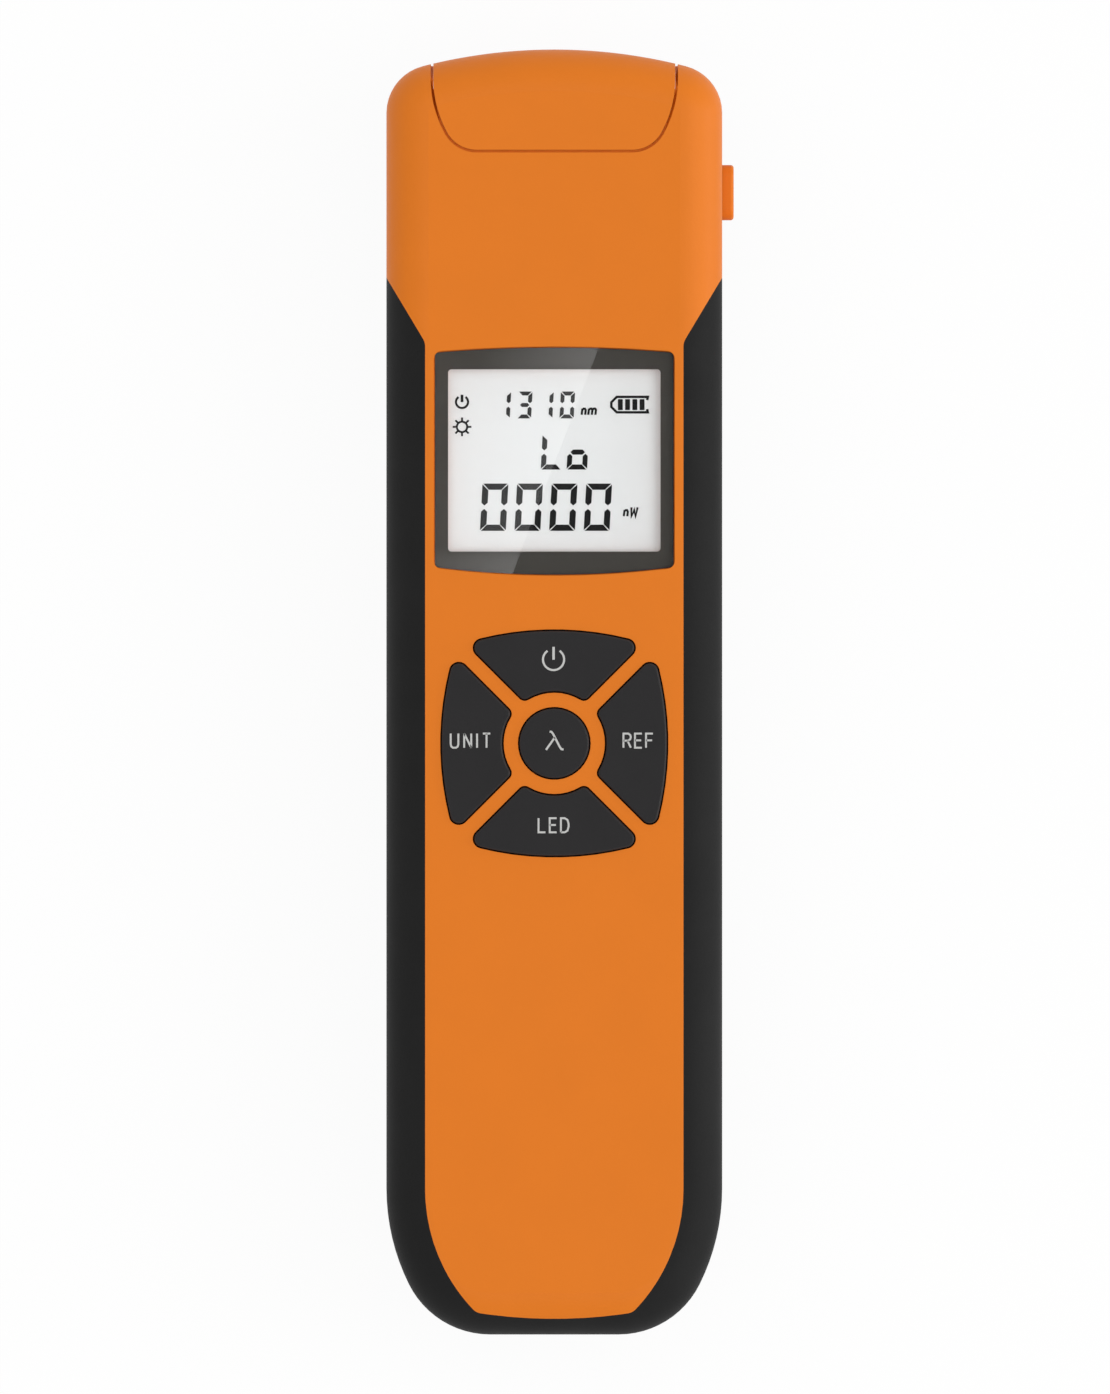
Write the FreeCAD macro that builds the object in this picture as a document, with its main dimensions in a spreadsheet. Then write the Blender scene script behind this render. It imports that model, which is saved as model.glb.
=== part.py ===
"""Handheld optical power meter, lying on its back.

Millimetres. +X is the meter's right side, +Y its head, +Z out of its front face. The origin is on
the flat back, midway along the silhouette's length and width. Every driving dimension is a cell of
the spreadsheet; each sub-part is an object of the document whose sizes are bound to those cells.
"""

import FreeCAD, Part
import math
import os
import re
import Sketcher

SIZES = {
    # Silhouette of the whole meter, seen from the front.
    "body_width": 44.5,
    "body_length": 170.3,
    "body_depth": 26.5,
    "head_arc": 70.0,
    "head_corner": 6.4,
    "tail_length": 19.35,
    "tail_side_arc": 28.5,
    "tail_corner": 12.0,
    # Moulded walls, rounded edges and the parting line between the two shells.
    "wall": 2.5,
    "front_round": 5.6,
    "back_round": 5.6,
    "round_margin": 0.4,
    "parting_height": 15.0,
    "lip_height": 1.5,
    "lip_thickness": 0.6,
    "lip_gap": 0.1,
    "lip_end_gap": 1.2,
    # Black overmoulded grip and the orange face that it frames.
    "grip_thickness": 1.2,
    "face_half_width": 17.1,
    "face_top": 46.3,
    "grip_rise": 8.6,
    "grip_bend": 2.0,
    "face_side_arc": 23.2,
    "face_tail_arc": 65.0,
    "face_tail_gap": 2.15,
    "face_corner": 1.8,
    # Flip cover over the optical ports, its seam and its hinge.
    "cover_half_width": 16.2,
    "cover_height": 13.55,
    "cover_flat": 10.3,
    "cover_corner": 4.6,
    "cover_side_arc": 15.0,
    "cover_wall": 2.0,
    "cover_side_wall": 1.8,
    "cover_gap": 0.35,
    "cover_cheek_drop": 3.3,
    "port_recess": 11.65,
    "recess_wall": 2.0,
    "hinge_pin_radius": 0.8,
    "hinge_gap": 0.05,
    "hinge_boss": 2.0,
    "hinge_lug_width": 3.2,
    "hinge_lug_root": 2.6,
    "hinge_side_gap": 0.4,
    # Optical ports and torch.
    "port_height": 15.0,
    "port_pitch": 9.5,
    "port_reach": 7.2,
    "ferrule_bore": 1.27,
    "port_neck": 2.9,
    "port_flange": 3.7,
    "port_flange_thickness": 1.4,
    "port_radius": 3.4,
    "port_gap": 0.05,
    "adapter_radius": 4.2,
    "adapter_thread": 3.3,
    "adapter_overlap": 3.0,
    "detector_can_radius": 2.6,
    "detector_can_length": 3.6,
    "laser_radius": 3.2,
    "laser_length": 21.0,
    "torch_radius": 2.5,
    "torch_rim": 2.9,
    "torch_rim_thickness": 1.0,
    "torch_reach": 3.2,
    # Display.
    "display_height": 30.66,
    "window_width": 29.4,
    "window_height": 25.4,
    "lens_half_width": 15.85,
    "lens_top": 14.99,
    "lens_bottom": 15.17,
    "lens_top_arc": 186.0,
    "lens_bottom_arc": 122.0,
    "lens_corner": 1.0,
    "lens_thickness": 1.2,
    "lens_sink": 0.1,
    "lens_gap": 0.1,
    "lcd_width": 34.0,
    "lcd_height": 30.0,
    "lcd_thickness": 2.0,
    "lcd_gap": 0.1,
    "backlight_thickness": 1.4,
    "backlight_margin": 1.0,
    # Keypad: four keys in a ring of webs about a round one.
    "keypad_drop": 6.8,
    "keypad_half": 15.1,
    "keypad_arc": 40.7,
    "keypad_web": 1.84,
    "keypad_ring": 6.7,
    "centre_key_radius": 4.82,
    "key_gap": 0.2,
    "key_flange": 0.5,
    "key_flange_thickness": 0.8,
    "key_flange_gap": 0.2,
    "key_proud": 0.4,
    "key_outer_corner": 1.3,
    "key_inner_corner": 1.0,
    "key_edge": 0.3,
    "key_travel": 0.6,
    "key_stem": 1.5,
    "key_reach": 10.4,
    "dome_radius": 2.5,
    "dome_height": 0.5,
    "dome_gap": 0.1,
    # Side key and its switch.
    "side_key_height": 66.25,
    "side_key_length": 7.3,
    "side_key_depth": 6.0,
    "side_key_proud": 1.54,
    "side_key_corner": 1.6,
    "side_key_edge": 0.4,
    "side_key_gap": 0.15,
    "side_key_flange": 0.7,
    "side_key_flange_thickness": 0.95,
    "side_key_flange_gap": 0.2,
    "side_key_travel": 0.8,
    "side_key_stem": 0.3,
    "side_switch_gap": 0.1,
    "side_switch_width": 3.2,
    "side_switch_length": 6.0,
    "side_switch_drop": 4.9,
    # Circuit board.
    "board_thickness": 1.6,
    "board_half_width": 18.5,
    "board_top": 69.0,
    "board_bottom": 60.0,
    "board_corner": 2.0,
    "board_hole_gap": 0.2,
    # Case screws, their bosses, and the board's own screws.
    "screw_radius": 1.1,
    "screw_gap": 0.05,
    "screw_length": 10.0,
    "screw_head": 2.1,
    "screw_head_height": 1.6,
    "screw_head_gap": 0.2,
    "screw_seat": 9.0,
    "screw_slot": 0.5,
    "head_screw_across": 16.6,
    "head_screw_height": 53.0,
    "tail_screw_across": 11.0,
    "tail_screw_drop": 72.5,
    "rear_boss": 3.5,
    "front_boss": 2.6,
    "boss_shoulder": 3.4,
    "board_screw_across": 13.0,
    "board_screw_drop": 45.0,
    "board_screw_radius": 0.9,
    "board_screw_length": 4.4,
    "board_screw_head": 1.8,
    "board_screw_head_height": 1.3,
    "standoff": 2.4,
    # Battery bay, cells, contacts and door.
    "cell_radius": 5.25,
    "cell_length": 43.7,
    "cell_nub_radius": 1.9,
    "cell_nub_length": 0.8,
    "cell_gap": 0.4,
    "cell_edge": 0.6,
    "bay_top": 14.3,
    "bay_contact_space": 3.2,
    "bay_wall": 1.3,
    "contact_width": 7.0,
    "contact_height": 8.0,
    "contact_thickness": 0.3,
    "contact_gap": 0.05,
    "door_thickness": 2.0,
    "door_overlap": 1.6,
    "door_gap": 0.2,
    "door_half_width": 17.2,
    "door_tongue": 1.0,
    "door_tongue_thickness": 0.8,
    "door_tongue_height": 1.1,
    "door_end_depth": 4.4,
    "door_end_height": 4.6,
    "door_groove_width": 14.0,
    "door_groove_height": 1.2,
    "door_groove_depth": 0.5,
    "door_groove_pitch": 2.4,
    "door_groove_drop": 9.0,
    "door_grooves": 5,
    "reach": 12.0,
}

doc = FreeCAD.newDocument("optical_power_meter")
sheet = doc.addObject("Spreadsheet::Sheet", "dim")
for row, (alias, size) in enumerate(SIZES.items(), start=1):
    sheet.set(f"A{row}", alias)
    sheet.set(f"B{row}", str(size))
    sheet.setAlias(f"B{row}", alias)
doc.recompute()

nodes = []


# ---------------------------------------------------------------- expressions and sketches


def bound(text):
    """The expression with each size's name pointed at its cell."""
    return re.sub(r"\b[a-z_]+\b", lambda word: "dim." + word[0] if word[0] in SIZES else word[0],
                  str(text))


def number(text):
    """What an expression comes to."""
    return float(sheet.evalExpression(bound(text)))


def tie(thing, **sizes):
    """Bind properties of an object to expressions; a dot in a property's path is written __."""
    for path, text in sizes.items():
        thing.setExpression(path.replace("__", "."), bound(text))


def line(x, y):
    return x, y, None, 1


def arc(x, y, radius, turn=1):
    """Arc to (x, y); turn is 1 where it bends left and -1 where it bends right."""
    return x, y, radius, turn


def mirrored(run, crown=None):
    """A right-hand run of steps, going up, then its mirror image, joined by a line or a crown arc."""
    back = [(f"-({run[-1][0]})", run[-1][1], crown, 1)]
    for here, after in zip(reversed(run[:-1]), reversed(run[1:])):
        back.append((f"-({here[0]})", here[1], after[2], after[3]))
    return run + back


def meet(one, two, side):
    """Crossing of two circles (x, y, radius), on the right (1) or left (-1) of the way from one to two."""
    (ax, ay, ar), (bx, by, br) = one, two
    across, along = f"(({bx}) - ({ax}))", f"(({by}) - ({ay}))"
    span = f"sqrt({across} ^ 2 + {along} ^ 2)"
    reach = f"((({ar}) ^ 2 - ({br}) ^ 2 + {span} ^ 2) / (2 * {span}))"
    rise = f"sqrt(({ar}) ^ 2 - {reach} ^ 2)"
    sign = "" if side > 0 else "-"
    x = f"(({ax}) + ({reach} * {across} {'+' if side > 0 else '-'} {rise} * {along}) / {span})"
    y = f"(({ay}) + ({reach} * {along} {'-' if side > 0 else '+'} {rise} * {across}) / {span})"
    return x, y


PLANES = {"XY": "XY_Plane", "XZ": "XZ_Plane", "YZ": "YZ_Plane"}


def sketch_on(body, name, plane, offset):
    """Empty sketch on one of the body's own origin planes, moved along its normal."""
    drawing = body.newObject("Sketcher::SketchObject", name)
    face = next(part for part in body.Origin.OriginFeatures if part.Role == PLANES[plane])
    drawing.AttachmentSupport = [(face, "")]
    drawing.MapMode = "FlatFace"
    tie(drawing, AttachmentOffset__Base__z=offset)
    return drawing


def constrain(drawing, kind, *where, size):
    index = drawing.addConstraint(Sketcher.Constraint(kind, *where, number(size)))
    drawing.setExpression(f"Constraints[{index}]", bound(size))


def outline(body, name, plane, steps, offset="0"):
    """Closed sketch through the steps, each corner and radius held by its own dimension."""
    drawing = sketch_on(body, name, plane, offset)
    points = [FreeCAD.Vector(number(x), number(y), 0) for x, y, _, _ in steps]
    ends = []
    for index, (_, _, radius, turn) in enumerate(steps):
        start, finish = points[index - 1], points[index]
        if radius is None:
            drawing.addGeometry(Part.LineSegment(start, finish), False)
            ends.append((1, 2))
            continue
        chord = finish - start
        size = number(radius)
        lift = math.sqrt(size ** 2 - (chord.Length / 2) ** 2)
        centre = (start + finish) / 2 + FreeCAD.Vector(-chord.y, chord.x, 0).normalize() * lift * turn
        first, last = (start, finish) if turn > 0 else (finish, start)
        angles = [math.atan2(point.y - centre.y, point.x - centre.x) for point in (first, last)]
        circle = Part.Circle(centre, FreeCAD.Vector(0, 0, 1), size)
        drawing.addGeometry(Part.ArcOfCircle(circle, *angles), False)
        ends.append((1, 2) if turn > 0 else (2, 1))
    for index, (x, y, radius, _) in enumerate(steps):
        follower = (index + 1) % len(steps)
        drawing.addConstraint(Sketcher.Constraint("Coincident", index, ends[index][1],
                                                  follower, ends[follower][0]))
        constrain(drawing, "DistanceX", -1, 1, index, ends[index][1], size=x)
        constrain(drawing, "DistanceY", -1, 1, index, ends[index][1], size=y)
        if radius is not None:
            constrain(drawing, "Radius", index, size=radius)
    return drawing


def pad(body, drawing, length):
    feature = body.newObject("PartDesign::Pad", drawing.Name + "_pad")
    feature.Profile = drawing
    tie(feature, Length=length)
    doc.recompute()
    return feature


def prism(name, plane, steps, low, high):
    """Body: the outline on a plane, padded from low to high along the plane's normal."""
    body = doc.addObject("PartDesign::Body", name)
    pad(body, outline(body, name + "_outline", plane, steps, low), f"({high}) - ({low})")
    return body


def soften(body, radius, test):
    """Fillet on the edges of the body's last feature that pass the test."""
    base = body.Tip
    edges = [f"Edge{index}" for index, edge in enumerate(base.Shape.Edges, start=1) if test(edge)]
    feature = body.newObject("PartDesign::Fillet", body.Name + "_round")
    feature.Base = (base, edges)
    tie(feature, Radius=radius)
    doc.recompute()
    return feature


def at_level(height, axis="z"):
    """Test: the edge lies wholly at one height."""
    level = number(height)
    return lambda edge: all(abs(getattr(vertex.Point, axis) - level) < 1e-4 for vertex in edge.Vertexes)


def upright(edge, axis="z"):
    """Test: a straight edge along the axis."""
    box = edge.BoundBox
    spans = {"x": box.XLength, "y": box.YLength, "z": box.ZLength}
    return spans.pop(axis) > 1e-4 and max(spans.values()) < 1e-4


# ---------------------------------------------------------------- solids and booleans

TURNS = {
    "X": FreeCAD.Rotation(FreeCAD.Vector(0, 1, 0), 90),
    "Y": FreeCAD.Rotation(FreeCAD.Vector(1, 0, 0), -90),
    "Z": FreeCAD.Rotation(),
}


def place(thing, x, y, z, turn=FreeCAD.Rotation()):
    thing.Placement = FreeCAD.Placement(FreeCAD.Vector(), turn)
    tie(thing, Placement__Base__x=x, Placement__Base__y=y, Placement__Base__z=z)
    return thing


def block(name, x, y, z):
    """Box between the two limits given for each of x, y and z."""
    solid = doc.addObject("Part::Box", name)
    tie(solid, Length=f"({x[1]}) - ({x[0]})", Width=f"({y[1]}) - ({y[0]})", Height=f"({z[1]}) - ({z[0]})")
    return place(solid, x[0], y[0], z[0])


def rod(name, axis, foot, radius, length):
    """Cylinder that starts at foot and runs along +axis."""
    solid = doc.addObject("Part::Cylinder", name)
    tie(solid, Radius=radius, Height=length)
    return place(solid, *foot, TURNS[axis])


def fuse(name, *parts):
    solid = doc.addObject("Part::MultiFuse", name)
    solid.Shapes = list(parts)
    return solid


def common(name, *parts):
    solid = doc.addObject("Part::MultiCommon", name)
    solid.Shapes = list(parts)
    return solid


def cut(name, base, *tools):
    solid = doc.addObject("Part::Cut", name)
    solid.Base = base
    solid.Tool = tools[0] if len(tools) == 1 else fuse(name + "_tools", *tools)
    return solid


def group(name, *parts):
    """Separate solids kept together."""
    bundle = doc.addObject("Part::Compound", name)
    bundle.Links = list(parts)
    return bundle


def node(thing, label):
    """Register a finished sub-part."""
    thing.Label = label
    nodes.append(thing)
    return thing


# ---------------------------------------------------------------- shared places

TOP = "(body_length / 2)"
TAIL = "(-body_length / 2)"
FRONT_ROUND = "min(front_round; head_corner - round_margin)"
BACK_ROUND = "min(back_round; head_corner - round_margin)"
FRONT_WALL = "(body_depth - wall)"
BOARD_FACE = "(body_depth - wall - lcd_gap - lcd_thickness - backlight_thickness)"
HINGE_Y = f"({TOP} - {BACK_ROUND})"
HINGE_Z = BACK_ROUND
DECK = f"({TOP} - port_recess)"
SEAM = f"({TOP} - cover_height)"
COVER_SILL = "(body_depth - cover_wall - cover_gap)"
PORT_TIP = f"({DECK} + port_reach)"
KEYPAD_Y = "(-keypad_drop)"
FAR = "(body_width + reach)"
BOARD_BACK = f"({BOARD_FACE} - board_thickness)"
CELL_PITCH = "(2 * cell_radius + cell_gap)"
CELL_Z = "(door_thickness + cell_gap / 2 + cell_radius)"
BAY_HALF = f"(1.5 * {CELL_PITCH})"
BAY_TOP = "(-bay_top)"
BAY_FOOT = "(-bay_top - cell_length - cell_nub_length - bay_contact_space)"
BAY_CEILING = f"({CELL_Z} + cell_radius + cell_gap / 2)"
SHELL_HALF = "(body_width / 2 - wall)"


# ---------------------------------------------------------------- outlines


def body_outline(inset):
    """Plan of the meter, drawn in from its silhouette by inset."""
    side_x, side_y = "(body_width / 2 - tail_side_arc)", "(tail_length - body_length / 2)"
    tail_y = "(tail_corner - body_length / 2)"
    span = "(tail_side_arc - tail_corner)"
    tail_x = f"({side_x} + sqrt({span} ^ 2 - (tail_length - tail_corner) ^ 2))"
    share = f"((tail_side_arc - ({inset})) / {span})"
    head_x, crown_y = "(body_width / 2 - head_corner)", "(body_length / 2 - head_arc)"
    rise = f"sqrt((head_arc - head_corner) ^ 2 - {head_x} ^ 2)"
    head_share = f"((head_arc - ({inset})) / (head_arc - head_corner))"
    edge = f"(body_width / 2 - ({inset}))"
    run = [
        line(tail_x, f"{TAIL} + ({inset})"),
        arc(f"{side_x} + ({tail_x} - {side_x}) * {share}", f"{side_y} + ({tail_y} - {side_y}) * {share}",
            f"tail_corner - ({inset})"),
        arc(edge, side_y, f"tail_side_arc - ({inset})"),
        line(edge, f"{crown_y} + {rise}"),
        arc(f"{head_x} * {head_share}", f"{crown_y} + {rise} * {head_share}", f"head_corner - ({inset})"),
    ]
    return mirrored(run, crown=f"head_arc - ({inset})")


def cover_outline(offset):
    """Plan of the flip cover's seam, moved out by offset, open past the head."""
    side_x, corner_y = "(cover_half_width - cover_side_arc)", f"({SEAM} + cover_corner)"
    span = "(cover_side_arc - cover_corner)"
    rise = f"sqrt({span} ^ 2 - (cover_flat - {side_x}) ^ 2)"
    share = f"((cover_side_arc + ({offset})) / {span})"
    edge = f"(cover_half_width + ({offset}))"
    run = [
        line("cover_flat", f"{SEAM} - ({offset})"),
        arc(f"{side_x} + (cover_flat - {side_x}) * {share}", f"{corner_y} + {rise} * (1 - {share})",
            f"cover_corner + ({offset})"),
        arc(edge, f"{corner_y} + {rise}", f"cover_side_arc + ({offset})"),
        line(edge, f"{TOP} + reach"),
    ]
    return mirrored(run)


def face_outline():
    """Plan of the orange face below the grip's upper ends, and of the whole head above them."""
    side_x, side_y = "(face_half_width - face_side_arc)", f"({TAIL} + tail_length)"
    tail_y = f"({TAIL} + face_tail_gap + face_tail_arc)"
    corner = meet((side_x, side_y, "face_side_arc"), ("0", tail_y, "face_tail_arc"), 1)
    flare = "(body_width / 2 - face_half_width)"
    run = [
        arc(*corner, "face_tail_arc"),
        arc("face_half_width", side_y, "face_side_arc"),
        line("face_half_width", "face_top"),
        line(f"face_half_width + 2 * {flare}", "face_top + 2 * grip_rise"),
        line(f"face_half_width + 2 * {flare}", f"{TOP} + reach"),
    ]
    return mirrored(run)


def lens_outline(gap):
    """Plan of the display lens, grown by gap: straight sides, crowned ends."""
    half = f"(lens_half_width + ({gap}))"
    low_arc, high_arc = f"(lens_bottom_arc + ({gap}))", f"(lens_top_arc + ({gap}))"
    low_sag = f"({low_arc} - sqrt({low_arc} ^ 2 - {half} ^ 2))"
    high_sag = f"({high_arc} - sqrt({high_arc} ^ 2 - {half} ^ 2))"
    run = [
        arc(half, f"display_height - lens_bottom - ({gap}) + {low_sag}", low_arc),
        line(half, f"display_height + lens_top + ({gap}) - {high_sag}"),
    ]
    return mirrored(run, crown=high_arc)


def quadrant_outline(gap):
    """Upper key of the ring about its centre, drawn in by gap: two webs, the ring and the rim."""
    shift = f"((keypad_web / 2 + ({gap})) * sqrt(2))"
    ring, rim = f"(keypad_ring + ({gap}))", f"(keypad_arc - ({gap}))"
    rim_shift = f"({shift} - keypad_half + keypad_arc)"
    low = f"((sqrt(2 * {ring} ^ 2 - {shift} ^ 2) - {shift}) / 2)"
    high = f"((sqrt(2 * {rim} ^ 2 - {rim_shift} ^ 2) - {rim_shift}) / 2)"
    run = [arc(low, f"{low} + {shift}", ring, -1), line(high, f"{high} + {shift}")]
    return mirrored(run, crown=rim)


def box_outline(x, y):
    """Rectangle between the two limits of each direction."""
    return [line(x[0], y[0]), line(x[1], y[0]), line(x[1], y[1]), line(x[0], y[1])]


# ---------------------------------------------------------------- shared solids


def form(name, inset):
    """The meter's whole outer form, drawn in by inset, with both faces' edges rounded."""
    body = prism(name, "XY", body_outline(inset), inset, f"body_depth - ({inset})")
    soften(body, f"{FRONT_ROUND} - ({inset})", at_level(f"body_depth - ({inset})"))
    soften(body, f"{BACK_ROUND} - ({inset})", at_level(inset))
    return body


def slab(name, low, high):
    """Everything between two heights."""
    return block(name, (f"-{FAR}", FAR), (f"-2 * {FAR}", f"2 * {FAR}"), (low, high))


def turned(name, steps, x, y, z):
    """Body turned about +Y from a profile of (radius, y), placed at x, y, z."""
    body = doc.addObject("PartDesign::Body", name)
    drawing = outline(body, name + "_profile", "XY", steps)
    feature = body.newObject("PartDesign::Revolution", name + "_turned")
    feature.Profile = drawing
    feature.ReferenceAxis = (drawing, ["V_Axis"])
    feature.Angle = 360
    doc.recompute()
    return place(body, x, y, z)


outer = form("outer_form", "0")
cavity = form("inner_form", "wall")
cover_cavity = form("cover_inner_form", "cover_wall")
grip_core = form("grip_core", "grip_thickness")
COVER_EDGE = "(cover_half_width - cover_gap / 2)"
HOUSE_EDGE = "(cover_half_width + cover_gap / 2)"


def port_space():
    """Room under the flip cover: its sill, the port recess, and the sweep of its rear barrel."""
    plan = prism("recess_plan", "XY", cover_outline("cover_gap / 2"), HINGE_Z, "body_depth + reach")
    steps = [
        line(DECK, HINGE_Z),
        line(f"{TOP} + reach", HINGE_Z),
        line(f"{TOP} + reach", "body_depth + reach"),
        line(f"{SEAM} - reach", "body_depth + reach"),
        line(f"{SEAM} - reach", COVER_SILL),
        line(DECK, COVER_SILL),
    ]
    section = prism("recess_section", "YZ", steps, f"-{FAR}", FAR)
    barrel = rod("recess_barrel", "X", (f"-{HOUSE_EDGE}", HINGE_Y, HINGE_Z), f"{BACK_ROUND} + cover_gap",
                 f"2 * {HOUSE_EDGE}")
    back = block("recess_back", (f"-{HOUSE_EDGE}", HOUSE_EDGE), (HINGE_Y, f"{TOP} + reach"),
                 ("-reach", HINGE_Z))
    return fuse("port_space", common("recess_front", plan, section), barrel, back)


def port_house():
    """The port recess with its walls, as one block to keep out of the shells' cavity."""
    steps = [
        line(f"{DECK} - recess_wall", "-reach"),
        line(f"{TOP} + reach", "-reach"),
        line(f"{TOP} + reach", "body_depth + reach"),
        line(f"{SEAM} - cover_gap - recess_wall", "body_depth + reach"),
        line(f"{SEAM} - cover_gap - recess_wall", f"{COVER_SILL} - recess_wall"),
        line(f"{DECK} - recess_wall", f"{COVER_SILL} - recess_wall"),
    ]
    return prism("port_house", "YZ", steps, f"-{HOUSE_EDGE} - recess_wall", f"{HOUSE_EDGE} + recess_wall")


skin = cut("skin", outer, cut("skin_cavity", cavity, port_house()), port_space())
upper_half = slab("upper_half", "parting_height", "body_depth + reach")
lower_half = slab("lower_half", "-reach", "parting_height")
SCREWS = [
    ("-head_screw_across", "head_screw_height"),
    ("head_screw_across", "head_screw_height"),
    ("-tail_screw_across", "-tail_screw_drop"),
    ("tail_screw_across", "-tail_screw_drop"),
]
BOARD_SCREWS = [("-board_screw_across", "-board_screw_drop"), ("board_screw_across", "-board_screw_drop")]


def lip_ring(name, inset, height):
    """Ring on the parting line, from inset to the cavity, stopping short of the port recess."""
    ring = prism(name + "_plan", "XY", body_outline(inset), "parting_height", f"parting_height + {height}")
    stop = block(name + "_stop", (f"-{FAR}", FAR), (f"{DECK} - recess_wall - lip_end_gap", f"2 * {FAR}"),
                 ("0", "body_depth"))
    return cut(name, ring, cavity, stop)


def port_holes(name):
    """Holes through the recess's deck for the two ports and the torch."""
    start = f"{DECK} - recess_wall - port_flange_thickness"
    depth = "recess_wall + 2 * port_flange_thickness"
    holes = []
    for side, radius in (("-port_pitch", "port_neck"), ("port_pitch", "port_neck"), ("0", "torch_radius")):
        holes.append(rod(f"{name}_{len(holes)}", "Y", (side, start, "port_height"), f"{radius} + port_gap",
                         depth))
    return fuse(name, *holes)


def rounded_bar(name, y_half, z_half, corner, low, high):
    """Bar along X about the side key's centre, with rounded long edges."""
    steps = box_outline((f"side_key_height - ({y_half})", f"side_key_height + ({y_half})"),
                        (f"parting_height - ({z_half})", f"parting_height + ({z_half})"))
    bar = prism(name, "YZ", steps, low, high)
    soften(bar, corner, lambda edge: upright(edge, "x"))
    return bar


side_slot = rounded_bar("side_slot", "side_key_length / 2 + side_key_gap", "side_key_depth / 2 + side_key_gap",
                        "side_key_corner + side_key_gap", f"{SHELL_HALF} - 1", FAR)


# ---------------------------------------------------------------- grip and front shell


def make_grip():
    """Soft black band let into the front shell, round both sides and the tail of the face."""
    plan = prism("face_plan", "XY", face_outline(), "0", "body_depth + reach")
    soften(plan, "grip_bend", lambda edge: upright(edge) and at_level("face_top", "y")(edge))
    foot = plan.Shape.BoundBox.YMin
    soften(plan, "face_corner", lambda edge: upright(edge) and edge.BoundBox.YMin < foot + number("wall"))
    band = cut("grip_skin", outer, grip_core, plan)
    return node(common("grip", band, upper_half), "grip_band")


def quadrant_cut(name, gap, low, high, turn):
    """Prism of one ring key's outline, its corners rounded, turned about the keypad's centre."""
    body = prism(name, "XY", quadrant_outline(gap), low, high)
    edge_y = [vertex.Point.y for vertex in body.Shape.Vertexes]
    middle = (min(edge_y) + max(edge_y)) / 2
    soften(body, f"key_outer_corner - ({gap})",
           lambda edge: upright(edge) and edge.BoundBox.YMin > middle)
    soften(body, f"key_inner_corner - ({gap})",
           lambda edge: upright(edge) and edge.BoundBox.YMin < middle)
    place(body, "0", KEYPAD_Y, "0", FreeCAD.Rotation(FreeCAD.Vector(0, 0, 1), turn))
    return body


KEY_TURNS = {"power_key": 0, "unit_key": 90, "led_key": 180, "reference_key": 270}


def make_front_shell(grip):
    """Orange upper moulding: lens bed, key openings, screw posts, lip groove."""
    posts = []
    for index, (x, y) in enumerate(SCREWS):
        posts.append(rod(f"post_{index}", "Z", (x, y, "parting_height"), "front_boss",
                         "body_depth - wall / 2 - parting_height"))
        posts.append(rod(f"shoulder_{index}", "Z", (x, y, BOARD_FACE), "boss_shoulder",
                         f"body_depth - wall / 2 - {BOARD_FACE}"))
    for index, (x, y) in enumerate(BOARD_SCREWS):
        posts.append(rod(f"standoff_{index}", "Z", (x, y, BOARD_FACE), "standoff",
                         f"body_depth - wall / 2 - {BOARD_FACE}"))
    whole = fuse("front_whole", common("front_half", skin, upper_half),
                 common("front_posts", fuse("front_post_set", *posts), outer))
    lens_bed = prism("lens_bed", "XY", lens_outline("lens_gap"), "body_depth - lens_sink - lens_thickness",
                     "body_depth + reach")
    soften(lens_bed, "lens_corner + lens_gap", upright)
    window = block("window", ("-window_width / 2", "window_width / 2"),
                   ("display_height - window_height / 2", "display_height + window_height / 2"),
                   (f"{FRONT_WALL} - 1", "body_depth"))
    through = (f"{FRONT_WALL} - 1", "body_depth + reach")
    openings = [quadrant_cut(name + "_opening", "0", *through, turn) for name, turn in KEY_TURNS.items()]
    openings.append(rod("centre_opening", "Z", ("0", KEYPAD_Y, through[0]), "centre_key_radius",
                        "wall + reach"))
    bores = []
    for index, (x, y) in enumerate(SCREWS):
        bores.append(rod(f"post_bore_{index}", "Z", (x, y, "0"), "screw_radius + screw_gap",
                         "screw_seat + screw_length + screw_radius"))
    for index, (x, y) in enumerate(BOARD_SCREWS):
        bores.append(rod(f"standoff_bore_{index}", "Z", (x, y, "0"), "board_screw_radius + screw_gap",
                         f"{BOARD_BACK} + board_screw_length + screw_gap"))
    groove = lip_ring("lip_groove", "wall - lip_thickness - lip_gap", "lip_height + lip_gap")
    return node(cut("front_shell", whole, grip, lens_bed, window, *openings, *bores, groove, side_slot,
                    port_holes("front_port_holes")), "front_shell")


# ---------------------------------------------------------------- rear shell and battery door


def hinge_lugs():
    """Pair of lugs that reach out from the deck to the hinge pin."""
    lugs = []
    outer_x = f"({COVER_EDGE} - cover_side_wall - hinge_side_gap)"
    inner_x = f"({outer_x} - hinge_lug_width)"
    steps = [
        line(f"{HINGE_Y} - 0.6 * hinge_boss", f"{HINGE_Z} - 0.6 * hinge_boss"),
        line(HINGE_Y, HINGE_Z),
        line(HINGE_Y, f"{HINGE_Z} + hinge_boss"),
        line(f"{DECK} - recess_wall / 2", f"{HINGE_Z} + hinge_boss + hinge_lug_root"),
        line(f"{DECK} - recess_wall / 2", f"{HINGE_Z} + hinge_boss"),
    ]
    for name, low, high in (("left", f"-{outer_x}", f"-{inner_x}"), ("right", inner_x, outer_x)):
        arm = prism(f"{name}_lug_arm", "YZ", steps, low, high)
        eye = rod(f"{name}_lug_eye", "X", (low, HINGE_Y, HINGE_Z), "hinge_boss", "hinge_lug_width")
        lugs += [arm, eye]
    return lugs


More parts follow.
